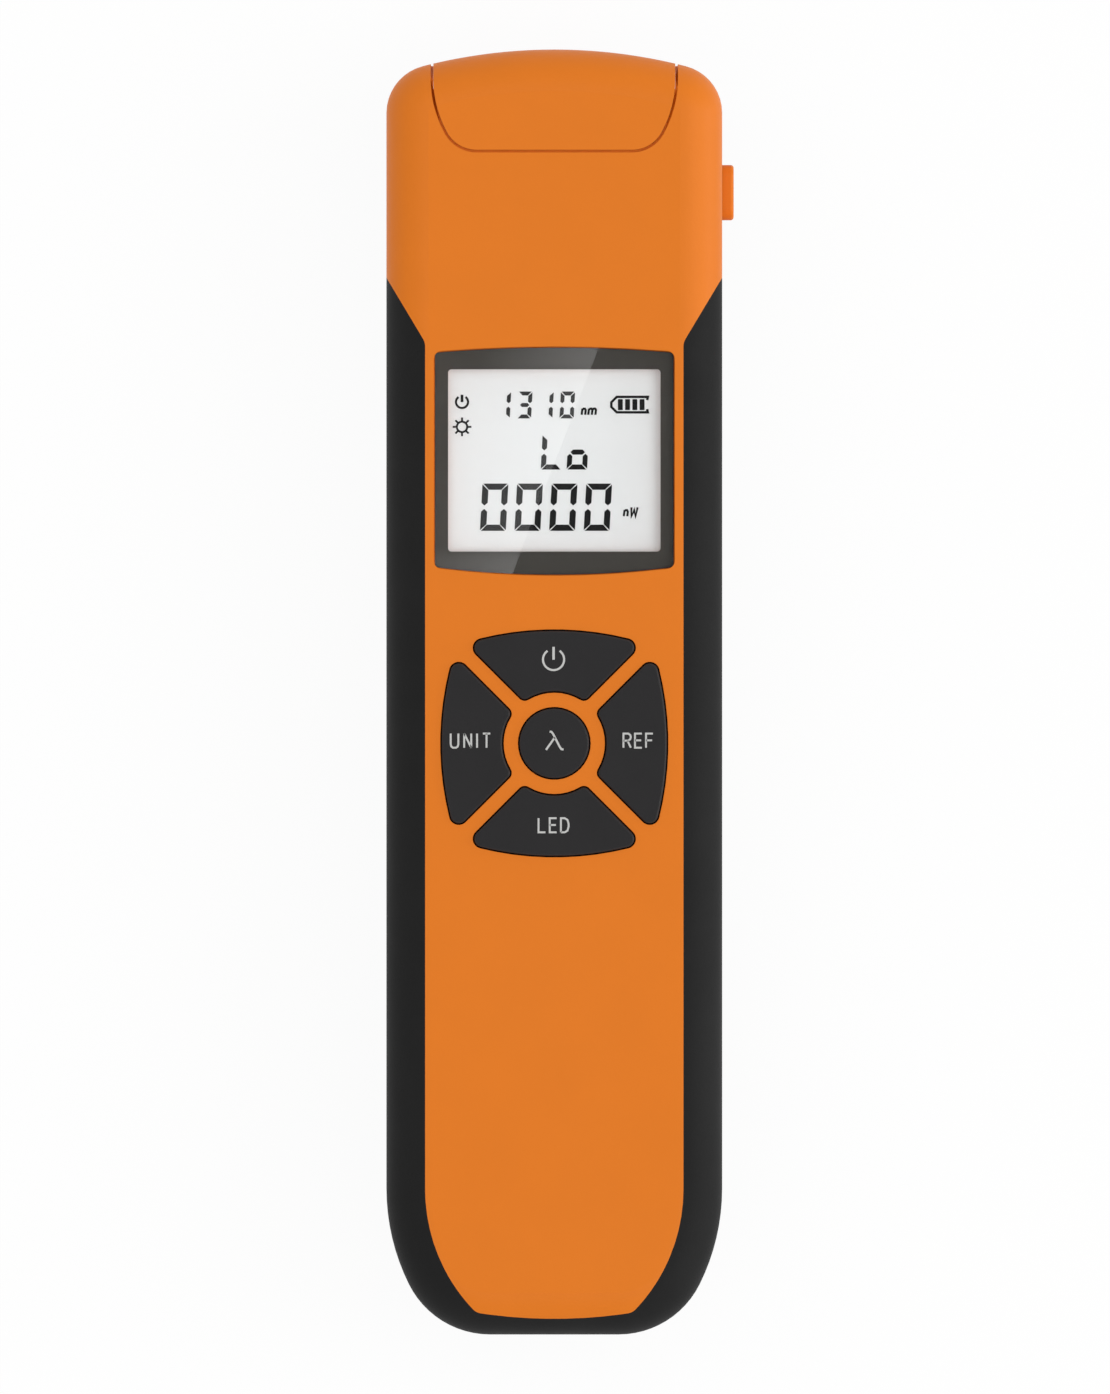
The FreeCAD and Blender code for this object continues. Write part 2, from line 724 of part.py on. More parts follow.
def door_form(name, gap):
    """The battery door's outline grown by gap: plate, tail end and side tongues."""
    edge = f"(door_half_width + ({gap}))"
    plate = block(name + "_plate", (f"-{edge}", edge), (f"-2 * {FAR}", f"{BAY_TOP} + door_overlap + ({gap})"),
                  ("-reach", f"door_thickness + ({gap})"))
    end = block(name + "_end", (f"-{edge}", edge), (f"-2 * {FAR}", f"{TAIL} + door_end_depth + ({gap})"),
                ("-reach", f"door_end_height + ({gap})"))
    return plate, end


def door_tongues(name, gap, foot):
    """Bar across the door that leaves a tongue along each side of it."""
    edge = f"(door_half_width + door_tongue + ({gap}))"
    return block(name, (f"-{edge}", edge), (foot, f"{BAY_TOP} - door_overlap + ({gap})"),
                 (f"door_tongue_height - ({gap})", f"door_tongue_height + door_tongue_thickness + ({gap})"))


def make_rear_shell():
    """Black lower moulding: screw bosses, battery bay, door bed and rails, hinge lugs, lip."""
    adds = []
    for index, (x, y) in enumerate(SCREWS):
        adds.append(rod(f"boss_{index}", "Z", (x, y, "wall / 2"), "rear_boss", "parting_height - wall / 2"))
    bay_edge = f"({BAY_HALF} + bay_wall)"
    adds.append(block("bay_house", (f"-{bay_edge}", bay_edge), (f"{BAY_FOOT} - bay_wall", f"{BAY_TOP} + bay_wall"),
                      ("wall / 2", f"{BAY_CEILING} + bay_wall")))
    adds.append(block("door_bed", (f"-{FAR}", FAR), (f"-2 * {FAR}", f"{BAY_TOP} + door_overlap + bay_wall"),
                      ("wall / 2", "door_thickness + door_gap + bay_wall")))
    adds.append(block("door_end_bed", (f"-{FAR}", FAR),
                      (f"-2 * {FAR}", f"{TAIL} + door_end_depth + door_gap + bay_wall"),
                      ("wall / 2", "door_end_height + door_gap + bay_wall")))
    inside = common("rear_fittings", fuse("rear_fitting_set", *adds), outer)
    lip = lip_ring("lip", "wall - lip_thickness", "lip_height")
    whole = fuse("rear_whole", common("rear_half", skin, lower_half), inside, lip, *hinge_lugs())
    cuts = list(door_form("door_recess", "door_gap"))
    cuts.append(door_tongues("door_rails", "door_gap", f"-2 * {FAR}"))
    cuts.append(block("bay", (f"-{BAY_HALF}", BAY_HALF), (BAY_FOOT, BAY_TOP), ("-reach", BAY_CEILING)))
    for index, (x, y) in enumerate(SCREWS):
        cuts.append(rod(f"boss_bore_{index}", "Z", (x, y, "0"), "screw_radius + screw_gap", "parting_height"))
        cuts.append(rod(f"counterbore_{index}", "Z", (x, y, "-1"), "screw_head + screw_head_gap",
                        "screw_seat + 1"))
    pin_bore = rod("lug_bore", "X", (f"-{COVER_EDGE}", HINGE_Y, HINGE_Z), "hinge_pin_radius + hinge_gap",
                   f"2 * {COVER_EDGE}")
    return node(cut("rear_shell", whole, *cuts, pin_bore, side_slot, port_holes("rear_port_holes")),
                "rear_shell")


def make_battery_door():
    """Door that slides off over the tail, with thumb grooves across its upper end."""
    plate = common("door_plate", fuse("door_set", *door_form("door", "0")), outer)
    tongues = door_tongues("door_tongues", "0", BAY_FOOT)
    grooves = []
    half = "(door_groove_width / 2)"
    for index in range(int(number("door_grooves"))):
        low = f"({BAY_TOP} - door_groove_drop - {index} * door_groove_pitch)"
        grooves.append(block(f"thumb_groove_{index}", (f"-{half}", half), (low, f"{low} + door_groove_height"),
                             ("-1", "door_groove_depth")))
    return node(cut("battery_door", fuse("door_whole", plate, tongues), *grooves), "battery_door")


# ---------------------------------------------------------------- flip cover and hinge pin


def make_flip_cover():
    """Hollow cap over the ports: front skirt, crown, rear barrel and two cheeks on the pin."""
    front = prism("cover_plan", "XY", cover_outline("-cover_gap / 2"), HINGE_Z, "body_depth + reach")
    back = block("cover_back", (f"-{COVER_EDGE}", COVER_EDGE), (HINGE_Y, f"{TOP} + reach"),
                 ("-reach", HINGE_Z))
    shell = common("cover_solid", outer, fuse("cover_region", front, back))
    inner = f"({COVER_EDGE} - cover_side_wall)"
    hollow = common("cover_hollow", cover_cavity,
                    block("cover_width", (f"-{inner}", inner), (SEAM, f"2 * {FAR}"), ("0", "body_depth")))
    under = block("cover_under", (f"-{FAR}", FAR), (f"{SEAM} - reach", f"{HINGE_Y} - cover_cheek_drop"),
                  ("-reach", "body_depth - cover_wall"))
    lowered = cut("cover_walls", shell, hollow, under)
    eyes = [rod("left_eye", "X", (f"-{COVER_EDGE}", HINGE_Y, HINGE_Z), "hinge_boss", "cover_side_wall"),
            rod("right_eye", "X", (inner, HINGE_Y, HINGE_Z), "hinge_boss", "cover_side_wall")]
    bore = rod("cover_bore", "X", (f"-{FAR}", HINGE_Y, HINGE_Z), "hinge_pin_radius + hinge_gap",
               f"2 * {FAR}")
    notch_x = f"({inner} - 2 * hinge_side_gap - hinge_lug_width)"
    notch_z = ("-reach", f"{HINGE_Z} + hinge_boss + hinge_side_gap")
    notches = [block("left_notch", (f"-{inner}", f"-{notch_x}"), (HINGE_Y, f"{TOP} + reach"), notch_z),
               block("right_notch", (notch_x, inner), (HINGE_Y, f"{TOP} + reach"), notch_z)]
    return node(cut("flip_cover", fuse("cover_with_eyes", lowered, *eyes), bore, *notches), "flip_cover")


def make_hinge_pin():
    return node(rod("hinge_pin", "X", (f"-{COVER_EDGE} + hinge_gap", HINGE_Y, HINGE_Z), "hinge_pin_radius",
                    f"2 * ({COVER_EDGE} - hinge_gap)"), "hinge_pin")


# ---------------------------------------------------------------- ports and torch

FLANGE_BACK = "(-recess_wall - port_flange_thickness)"


def make_detector_port():
    """Threaded barrel clamped in the deck, the adapter screwed on it, the photodiode behind."""
    bore = "(port_neck - port_flange_thickness / 2)"
    barrel = turned("detector_barrel", [
        line(bore, FLANGE_BACK),
        line("port_flange", FLANGE_BACK),
        line("port_flange", "-recess_wall"),
        line("port_neck", "-recess_wall"),
        line("port_neck", "0"),
        line("adapter_thread", "0"),
        line("adapter_thread", "adapter_overlap"),
        line(bore, "adapter_overlap"),
    ], "-port_pitch", DECK, "port_height")
    adapter = turned("detector_adapter", [
        line("adapter_thread + port_gap", "0"),
        line("adapter_radius", "0"),
        line("adapter_radius", "adapter_overlap"),
        line("port_radius", "adapter_overlap + adapter_radius - port_radius"),
        line("port_radius", "port_reach"),
        line("ferrule_bore", "port_reach"),
        line("ferrule_bore", "adapter_overlap"),
        line("adapter_thread + port_gap", "adapter_overlap"),
    ], "-port_pitch", DECK, "port_height")
    diode = turned("photodiode", [
        line("0", f"{FLANGE_BACK} - detector_can_length"),
        line("detector_can_radius", f"{FLANGE_BACK} - detector_can_length"),
        line("detector_can_radius", FLANGE_BACK),
        line("0", FLANGE_BACK),
    ], "-port_pitch", DECK, "port_height")
    node(barrel, "detector_barrel")
    node(adapter, "detector_adapter")
    node(diode, "photodiode")


def make_fault_locator():
    """Ferrule port of the red fault-finding light, and the laser module behind it."""
    port = turned("fault_locator_port", [
        line("ferrule_bore", FLANGE_BACK),
        line("port_flange", FLANGE_BACK),
        line("port_flange", "-recess_wall"),
        line("port_neck", "-recess_wall"),
        line("port_neck", "0"),
        line("port_radius", "0"),
        line("port_radius", "port_reach"),
        line("ferrule_bore", "port_reach"),
    ], "port_pitch", DECK, "port_height")
    laser = turned("laser_module", [
        line("0", f"{FLANGE_BACK} - laser_length"),
        line("laser_radius", f"{FLANGE_BACK} - laser_length"),
        line("laser_radius", FLANGE_BACK),
        line("0", FLANGE_BACK),
    ], "port_pitch", DECK, "port_height")
    node(port, "fault_locator_port")
    node(laser, "laser_module")


def make_torch():
    """Domed lamp between the two ports, its rim behind the deck."""
    rim = "(-recess_wall - torch_rim_thickness)"
    node(turned("torch_lamp", [
        line("0", rim),
        line("torch_rim", rim),
        line("torch_rim", "-recess_wall"),
        line("torch_radius", "-recess_wall"),
        line("torch_radius", "torch_reach - torch_radius"),
        arc("0", "torch_reach", "torch_radius"),
    ], "0", DECK, "port_height"), "torch_lamp")


# ---------------------------------------------------------------- display


def make_display():
    """Lens bonded in its bed, liquid-crystal cell under the window, backlight on the board."""
    lens = prism("display_lens", "XY", lens_outline("0"), "body_depth - lens_sink - lens_thickness",
                 "body_depth - lens_sink")
    soften(lens, "lens_corner", upright)
    node(lens, "display_lens")
    cell_z = f"({BOARD_FACE} + backlight_thickness)"
    node(block("lcd_cell", ("-lcd_width / 2", "lcd_width / 2"),
               ("display_height - lcd_height / 2", "display_height + lcd_height / 2"),
               (cell_z, f"{cell_z} + lcd_thickness")), "lcd_cell")
    half_width, half_height = "(lcd_width / 2 - backlight_margin)", "(lcd_height / 2 - backlight_margin)"
    node(block("backlight", (f"-{half_width}", half_width),
               (f"display_height - {half_height}", f"display_height + {half_height}"),
               (BOARD_FACE, cell_z)), "backlight")


# ---------------------------------------------------------------- keys

FLANGE_TOP = f"({FRONT_WALL} - key_flange_gap)"
FLANGE_LOW = f"({FLANGE_TOP} - key_flange_thickness)"
STEM_FOOT = f"({BOARD_FACE} + dome_height + dome_gap + key_travel)"
KEY_TOP = "(body_depth + key_proud)"


def make_ring_key(name, turn):
    """One of the four keys of the ring: flange under the face, cap, stem over its dome."""
    flange = quadrant_cut(name + "_flange", "-key_flange", FLANGE_LOW, FLANGE_TOP, turn)
    cap = quadrant_cut(name + "_cap", "key_gap", FLANGE_TOP, KEY_TOP, turn)
    soften(cap, "key_edge", at_level(KEY_TOP))
    x, y = key_centre(turn)
    stem = rod(name + "_stem", "Z", (x, y, STEM_FOOT), "key_stem", f"{FLANGE_LOW} - {STEM_FOOT}")
    node(fuse(name, flange, cap, stem), name)


def key_centre(turn):
    """Where a ring key's dome lies, for each quarter turn."""
    places = {
        0: ("0", f"{KEYPAD_Y} + key_reach"),
        90: ("-key_reach", KEYPAD_Y),
        180: ("0", f"{KEYPAD_Y} - key_reach"),
        270: ("key_reach", KEYPAD_Y),
    }
    return places[turn]


def make_centre_key():
    """Round key in the middle of the ring."""
    cap_radius, flange_radius = "(centre_key_radius - key_gap)", "(centre_key_radius + key_flange)"
    node(turned_up("wavelength_key", [
        line("0", STEM_FOOT),
        line("key_stem", STEM_FOOT),
        line("key_stem", FLANGE_LOW),
        line(flange_radius, FLANGE_LOW),
        line(flange_radius, FLANGE_TOP),
        line(cap_radius, FLANGE_TOP),
        line(cap_radius, f"{KEY_TOP} - key_edge"),
        arc(f"{cap_radius} - key_edge", KEY_TOP, "key_edge"),
        line("0", KEY_TOP),
    ], "0", KEYPAD_Y), "wavelength_key")


def turned_up(name, steps, x, y):
    """Body turned about +Z from a profile of (radius, z), placed at x, y."""
    body = doc.addObject("PartDesign::Body", name)
    drawing = outline(body, name + "_profile", "XZ", steps)
    feature = body.newObject("PartDesign::Revolution", name + "_turned")
    feature.Profile = drawing
    feature.ReferenceAxis = (drawing, ["V_Axis"])
    feature.Angle = 360
    doc.recompute()
    return place(body, x, y, "0")


def make_domes():
    """Snap domes on the board, one under each front key."""
    domes = []
    for x, y in [key_centre(turn) for turn in KEY_TURNS.values()] + [("0", KEYPAD_Y)]:
        sphere = "((dome_radius ^ 2 + dome_height ^ 2) / (2 * dome_height))"
        domes.append(turned_up(f"dome_{len(domes)}", [
            line("0", BOARD_FACE),
            line("dome_radius", BOARD_FACE),
            arc("0", f"{BOARD_FACE} + dome_height", sphere),
        ], x, y))
    node(group("key_domes", *domes), "key_domes")


def make_side_key():
    """Orange key in the right side, its flange inside both shells, its switch under the board."""
    inner_face = f"({SHELL_HALF} - side_key_flange_gap)"
    flange_low = f"({inner_face} - side_key_flange_thickness)"
    flange = rounded_bar("side_key_flange", "side_key_length / 2 + side_key_flange",
                         "side_key_depth / 2 + side_key_flange", "side_key_corner", flange_low, inner_face)
    cap = rounded_bar("side_key_cap", "side_key_length / 2", "side_key_depth / 2", "side_key_corner",
                      inner_face, "body_width / 2 + side_key_proud")
    soften(cap, "side_key_edge", at_level("body_width / 2 + side_key_proud", "x"))
    stem = rod("side_key_stem", "X", (f"{flange_low} - side_key_stem", "side_key_height", "parting_height"),
               "key_stem", "side_key_stem")
    node(fuse("side_key", flange, cap, stem), "side_key")
    face = f"({flange_low} - side_key_stem - side_key_travel - side_switch_gap)"
    node(block("side_switch", (f"{face} - side_switch_width", face),
               ("side_key_height - side_switch_length / 2", "side_key_height + side_switch_length / 2"),
               (f"{BOARD_BACK} - side_switch_drop", BOARD_BACK)), "side_switch")


# ---------------------------------------------------------------- board and screws


def make_board():
    """Circuit board, hung under the front shell's shoulders and standoffs."""
    plate = prism("board_plate", "XY", box_outline(("-board_half_width", "board_half_width"),
                                                   ("-board_bottom", "board_top")), BOARD_BACK, BOARD_FACE)
    soften(plate, "board_corner", upright)
    holes = []
    for index, (x, y) in enumerate(SCREWS[:2]):
        holes.append(rod(f"board_hole_{index}", "Z", (x, y, "0"), "front_boss + board_hole_gap", "body_depth"))
    for index, (x, y) in enumerate(BOARD_SCREWS):
        holes.append(rod(f"board_screw_hole_{index}", "Z", (x, y, "0"),
                         "board_screw_radius + board_hole_gap", "body_depth"))
    node(cut("main_board", plate, *holes), "main_board")


def screw(name, x, y, seat, radius, length, head, head_height):
    """Pan-head screw driven upwards, with a cross in its head."""
    shank = rod(name + "_shank", "Z", (x, y, seat), radius, length)
    top = rod(name + "_head", "Z", (x, y, f"{seat} - {head_height}"), head, head_height)
    deep = (f"{seat} - {head_height} - 1", f"{seat} - {head_height} / 2")
    arm, half = f"({head} * 0.7)", "(screw_slot / 2)"
    slots = [block(name + "_slot_a", (f"{x} - {arm}", f"{x} + {arm}"), (f"{y} - {half}", f"{y} + {half}"), deep),
             block(name + "_slot_b", (f"{x} - {half}", f"{x} + {half}"), (f"{y} - {arm}", f"{y} + {arm}"), deep)]
    return cut(name, fuse(name + "_blank", shank, top), *slots)


def make_screws():
    case = [screw(f"case_screw_{index}", x, y, "screw_seat", "screw_radius", "screw_length", "screw_head",
                  "screw_head_height") for index, (x, y) in enumerate(SCREWS)]
    node(group("case_screws", *case), "case_screws")
    board = [screw(f"board_screw_{index}", x, y, BOARD_BACK, "board_screw_radius", "board_screw_length",
                   "board_screw_head", "board_screw_head_height") for index, (x, y) in enumerate(BOARD_SCREWS)]
    node(group("board_screws", *board), "board_screws")


# ---------------------------------------------------------------- batteries


def make_cells():
    """Three cells side by side, the middle one turned end for end, with their contacts."""
    plates, leaves = [], []
    for index, (across, top_plus) in enumerate((("-1", True), ("0", False), ("1", True)), start=1):
        x = f"({across} * {CELL_PITCH})"
        if top_plus:
            cell_foot = f"({BAY_TOP} - contact_thickness - cell_nub_length - cell_length)"
            shape = [line("0", cell_foot), line("cell_radius", cell_foot),
                     line("cell_radius", f"{cell_foot} + cell_length"),
                     line("cell_nub_radius", f"{cell_foot} + cell_length"),
                     line("cell_nub_radius", f"{cell_foot} + cell_length + cell_nub_length"),
                     line("0", f"{cell_foot} + cell_length + cell_nub_length")]
            plate_y, leaf_y, bow = (f"{BAY_TOP} - contact_thickness", BAY_TOP), BAY_FOOT, 1
        else:
            nub_foot = f"({BAY_FOOT} + contact_thickness)"
            shape = [line("0", nub_foot), line("cell_nub_radius", nub_foot),
                     line("cell_nub_radius", f"{nub_foot} + cell_nub_length"),
                     line("cell_radius", f"{nub_foot} + cell_nub_length"),
                     line("cell_radius", f"{nub_foot} + cell_nub_length + cell_length"),
                     line("0", f"{nub_foot} + cell_nub_length + cell_length")]
            plate_y, leaf_y, bow = (BAY_FOOT, f"{BAY_FOOT} + contact_thickness"), BAY_TOP, -1
        node(turned(f"aaa_cell_{index}", shape, x, "0", CELL_Z), f"aaa_cell_{index}")
        plates.append(block(f"plate_{index}", (f"{x} - contact_width / 2", f"{x} + contact_width / 2"), plate_y,
                            (f"{CELL_Z} - contact_height / 2", f"{CELL_Z} + contact_height / 2")))
        leaves.append(leaf_contact(f"leaf_{index}", x, leaf_y, bow))
    node(group("contact_plates", *plates), "contact_plates")
    node(group("contact_springs", *leaves), "contact_springs")


def leaf_contact(name, x, wall_y, bow):
    """Sprung strip bowed out from the bay's end wall towards the cell."""
    half, sag = "(contact_height / 2)", "(bay_contact_space - contact_thickness - contact_gap)"
    radius = f"(({half} ^ 2 + {sag} ^ 2) / (2 * {sag}))"
    inner = f"({radius} - contact_thickness)"
    inner_half = f"sqrt({inner} ^ 2 - ({radius} - {sag}) ^ 2)"
    steps = [
        line(wall_y, f"{CELL_Z} - {half}"),
        arc(wall_y, f"{CELL_Z} + {half}", radius, bow),
        line(wall_y, f"{CELL_Z} + {inner_half}"),
        arc(wall_y, f"{CELL_Z} - {inner_half}", inner, -bow),
    ]
    return prism(name, "YZ", steps, f"{x} - contact_width / 2", f"{x} + contact_width / 2")


# ---------------------------------------------------------------- the whole meter

grip_band = make_grip()
make_front_shell(grip_band)
make_rear_shell()
make_battery_door()
make_flip_cover()
make_hinge_pin()
make_detector_port()
make_fault_locator()
make_torch()
make_display()
for key_name, key_turn in KEY_TURNS.items():
    make_ring_key(key_name, key_turn)
make_centre_key()
make_domes()
make_side_key()
make_board()
make_screws()
make_cells()
doc.recompute()

for thing in doc.Objects:
    if {"Invalid", "Error"} & set(thing.State):
        raise RuntimeError(f"{thing.Name} failed: {thing.State}")
for part in nodes:
    if part.Shape.isNull() or not part.Shape.isValid():
        raise RuntimeError(f"{part.Label} has no valid shape")

os.makedirs("parts", exist_ok=True)
for part in nodes:
    part.Shape.exportStep(f"parts/{part.Label}.step")
    print(f"{part.Label}: {len(part.Shape.Solids)} solid(s), {part.Shape.Volume:.1f} mm3")
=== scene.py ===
"""Finish of a handheld optical power meter: materials, display, key legends, port fittings and studio.

Metres. +X is the meter's right side, +Y its head, +Z out of its front face. The packed model is the
fixed frame, and every place here comes from it. Each piece or group of like pieces has an operator.
"""

import math

import bmesh
import bpy
from bpy.props import FloatProperty, FloatVectorProperty, IntProperty, PointerProperty
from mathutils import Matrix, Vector
from mathutils.geometry import convex_hull_2d


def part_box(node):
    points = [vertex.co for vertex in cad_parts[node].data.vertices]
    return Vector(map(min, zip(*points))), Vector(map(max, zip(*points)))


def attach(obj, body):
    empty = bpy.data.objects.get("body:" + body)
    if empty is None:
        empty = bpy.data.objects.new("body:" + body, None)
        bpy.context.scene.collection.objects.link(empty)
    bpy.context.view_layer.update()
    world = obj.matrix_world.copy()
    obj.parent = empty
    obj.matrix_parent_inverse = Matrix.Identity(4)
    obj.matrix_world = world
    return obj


bl_info = {
    "name": "Optical power meter finish",
    "version": (1, 0, 0),
    "blender": (4, 5, 0),
    "location": "View3D > Sidebar > Power meter",
    "description": "Dresses the packed power meter: materials, display, legends, fittings and studio",
    "category": "Object",
}

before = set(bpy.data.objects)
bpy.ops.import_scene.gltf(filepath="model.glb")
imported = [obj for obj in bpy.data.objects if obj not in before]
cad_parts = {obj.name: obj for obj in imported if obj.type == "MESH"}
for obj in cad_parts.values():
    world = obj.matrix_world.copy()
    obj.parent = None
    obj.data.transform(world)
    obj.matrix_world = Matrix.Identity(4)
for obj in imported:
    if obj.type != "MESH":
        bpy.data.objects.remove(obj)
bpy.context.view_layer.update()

MM = 0.001
LENS_LOW, LENS_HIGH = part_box("display_lens")
CELL_LOW, CELL_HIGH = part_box("lcd_cell")
CENTRE_KEY_LOW, CENTRE_KEY_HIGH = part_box("wavelength_key")
ADAPTER_LOW, ADAPTER_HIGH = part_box("detector_adapter")
LOCATOR_LOW, LOCATOR_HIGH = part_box("fault_locator_port")
DIODE_LOW, DIODE_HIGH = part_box("photodiode")
BODY_LOW, BODY_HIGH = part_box("front_shell")
COVER_LOW, COVER_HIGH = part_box("flip_cover")
BAY_CELL_LOW, BAY_CELL_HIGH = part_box("aaa_cell_1")
MIDDLE_CELL_LOW, MIDDLE_CELL_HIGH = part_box("aaa_cell_2")
LENS_CORNER_RISE = 0.93 * MM
CARD_HEIGHT = 0.5
WHITE = (1.0, 1.0, 1.0, 1.0)

# Places of the Mix node's two colour inputs and of its colour output, whose names it uses again.
MIX_COLOUR_SOCKETS = (6, 7, 2)

# Distances from one end of a cell, or from the axis of a bore or can, over which one finish gives way
# to the next.
BAND_EDGE = (9.9 * MM, 10.0 * MM)
TIP_EDGE = (1.15 * MM, 1.2 * MM)
BASE_EDGE = (0.45 * MM, 0.5 * MM)
SLEEVE_EDGE = (1.62 * MM, 1.68 * MM)
WINDOW_EDGE = (1.7 * MM, 1.75 * MM)

# Each lamp's name, place and width in metres, the setting that holds its power, and whether it shows
# in reflections.
LAMPS = (
    ("top_lamp", (-0.1, 0.0, 1.6), 1.6, "top_power", False),
    ("key_lamp", (1.1, 0.0, 1.3), 0.9, "key_power", True),
    ("side_lamp", (1.5, 0.0, 0.25), 0.6, "side_power", True),
)


def middle(low, high):
    """Point halfway between two corners."""
    return (low + high) / 2


def tint(red, green, blue):
    """Linear colour from display values of 0 to 255."""
    shares = [channel / 255 for channel in (red, green, blue)]
    linear = [share / 12.92 if share <= 0.04045 else ((share + 0.055) / 1.055) ** 2.4 for share in shares]
    return (*linear, 1.0)


# ---------------------------------------------------------------- sizes and colours a user may change


def colour(name, description, value):
    """Colour setting."""
    return FloatVectorProperty(name=name, description=description, default=value, size=4, min=0.0, max=1.0,
                               subtype="COLOR")


def length(name, description, value):
    """Length setting, its default in millimetres."""
    return FloatProperty(name=name, description=description, default=value * MM, min=0.0, unit="LENGTH",
                         subtype="DISTANCE", precision=5)


def offset(name, description, value):
    """Setting for a distance from a middle, which may be negative; its default in millimetres."""
    return FloatProperty(name=name, description=description, default=value * MM, unit="LENGTH",
                         subtype="DISTANCE", precision=5)


def power(name, description, value):
    """Setting for a lamp's power."""
    return FloatProperty(name=name, description=description, default=value, min=0.0, unit="POWER")


class MeterColours(bpy.types.PropertyGroup):
    """Colours of the meter's materials."""

    orange: colour("Orange shell", "Moulded front shell, flip cover and side key", tint(226, 121, 27))
    grip: colour("Grip", "Soft overmoulded band round the face", tint(27, 27, 27))
    shell: colour("Rear shell", "Textured black rear moulding and battery door", tint(34, 34, 35))
    keys: colour("Keys", "Front key caps", tint(38, 37, 38))
    legend: colour("Legends", "Print on the keys", tint(192, 192, 190))
    border: colour("Lens border", "Print on the back of the lens", tint(72, 70, 66))
    ground: colour("Display ground", "Pale reflector of the liquid-crystal cell", tint(227, 229, 229))
    segment: colour("Segments", "Dark segments and signs of the display", tint(12, 12, 13))
    metal: colour("Nickel", "Plated optical ports", tint(205, 203, 198))
    ceramic: colour("Ceramic", "Sleeves inside the ports", tint(238, 236, 230))
    steel: colour("Steel", "Screws, hinge pin and sprung contacts", tint(170, 170, 172))
    brass: colour("Brass", "Plated contact plates", tint(206, 170, 104))
    mask: colour("Solder mask", "Circuit board", tint(16, 84, 48))
    jacket: colour("Cell jacket", "Printed sleeve of each cell", tint(28, 30, 36))
    jacket_band: colour("Cell band", "Band at each cell's positive end", tint(196, 132, 52))
    floor: colour("Floor", "Studio floor", tint(250, 250, 249))


class DisplaySizes(bpy.types.PropertyGroup):
    """Layout of the display, measured from the middle of the liquid-crystal cell."""

    window_width: length("Window width", "Clear window in the lens print", 28.13)
    window_height: length("Window height", "Clear window in the lens print", 24.13)
    window_corner: length("Window corner", "Radius of the clear window's corners", 0.45)
    print_margin: length("Print margin", "Bare rim between the print and the lens's edge", 0.06)
    film: length("Film thickness", "Thickness of the print and of each segment", 0.03)
    reading_height: length("Reading height", "Large digits of the reading", 6.26)
    reading_width: length("Reading width", "Each large digit of the reading", 3.42)
    reading_pitch: length("Reading pitch", "From one large digit to the next", 4.58)
    reading_stroke: length("Reading stroke", "Segments of the large digits", 0.82)
    wave_height: length("Wavelength height", "Digits of the wavelength", 3.56)
    wave_width: length("Wavelength width", "Each digit of the wavelength", 1.88)
    wave_pitch: length("Wavelength pitch", "From one digit of the wavelength to the next", 2.82)
    wave_stroke: length("Wavelength stroke", "Segments of the wavelength's digits", 0.52)
    word_height: length("Word height", "Letters of the level word", 4.62)
    word_width: length("Word width", "Each letter of the level word", 2.72)
    word_stroke: length("Word stroke", "Segments of the level word", 0.67)
    segment_gap: length("Segment gap", "Clear line between two segments", 0.11)
    unit_height: length("Unit height", "Small letters of the units", 1.1)
    unit_stroke: length("Unit stroke", "Strokes of the units", 0.29)
    unit_gap: length("Unit gap", "Between the letters of a unit", 0.12)
    reading_left: offset("Reading left", "Left side of the first large digit", -9.85)
    reading_foot: offset("Reading foot", "Foot of the large digits", -9.32)
    wave_left: offset("Wavelength left", "Left side of the wavelength's first digit", -7.78)
    wave_foot: offset("Wavelength foot", "Foot of the wavelength's digits", 5.57)
    word_left: offset("Word left", "Left side of the level word", -1.8)
    word_foot: offset("Word foot", "Foot of the level word", -1.2)
    word_pitch: length("Word pitch", "From one letter of the level word to the next", 3.42)
    sign_column: offset("Sign column", "Middle of the power and backlight signs, across", -12.22)
    power_line: offset("Power line", "Middle of the power sign, along", 7.75)
    power_radius: length("Power radius", "Open ring of the power sign", 0.8)
    power_stroke: length("Power stroke", "Strokes of the power sign", 0.3)
    sun_line: offset("Backlight line", "Middle of the backlight sign, along", 4.45)
    sun_radius: length("Sun radius", "Ring of the backlight sign", 0.69)
    sun_stroke: length("Sun stroke", "Stroke of that ring", 0.27)
    ray_foot: length("Ray foot", "Where the rays start, from the sign's middle", 0.8)
    ray_tip: length("Ray tip", "Where the rays end, from the sign's middle", 1.24)
    ray_stroke: length("Ray stroke", "Width of each ray", 0.26)
    battery_left: offset("Battery left", "Nose of the battery sign", 7.55)
    battery_line: offset("Battery line", "Middle of the battery sign, along", 7.4)
    battery_run: length("Battery run", "Length of the battery sign", 4.84)
    battery_half: length("Battery half", "Half the height of the battery sign", 1.02)
    battery_nose: length("Battery nose", "Length of the battery sign's tapered end", 0.72)
    battery_tip: length("Battery tip", "Half the height of the nose's blunt end", 0.3)
    battery_return: length("Battery return", "How far the outline turns in at the sign's open end", 0.42)
    battery_lean: length("Battery lean", "How far those ends lean towards the nose", 0.1)
    battery_stroke: length("Battery stroke", "Outline of the battery sign", 0.33)
    bar_left: offset("Bar left", "Left side of the first bar", 8.42)
    bar_pitch: length("Bar pitch", "From one bar to the next", 0.96)
    bar_width: length("Bar width", "Width of each bar", 0.65)
    bar_height: length("Bar height", "Height of each bar", 1.45)
    bar_corner: length("Bar corner", "Radius of each bar's corners", 0.1)
    slant: FloatProperty(name="Slant", description="Lean of the digits to the right for each unit of height",
                         default=0.055, min=0.0, max=0.5)


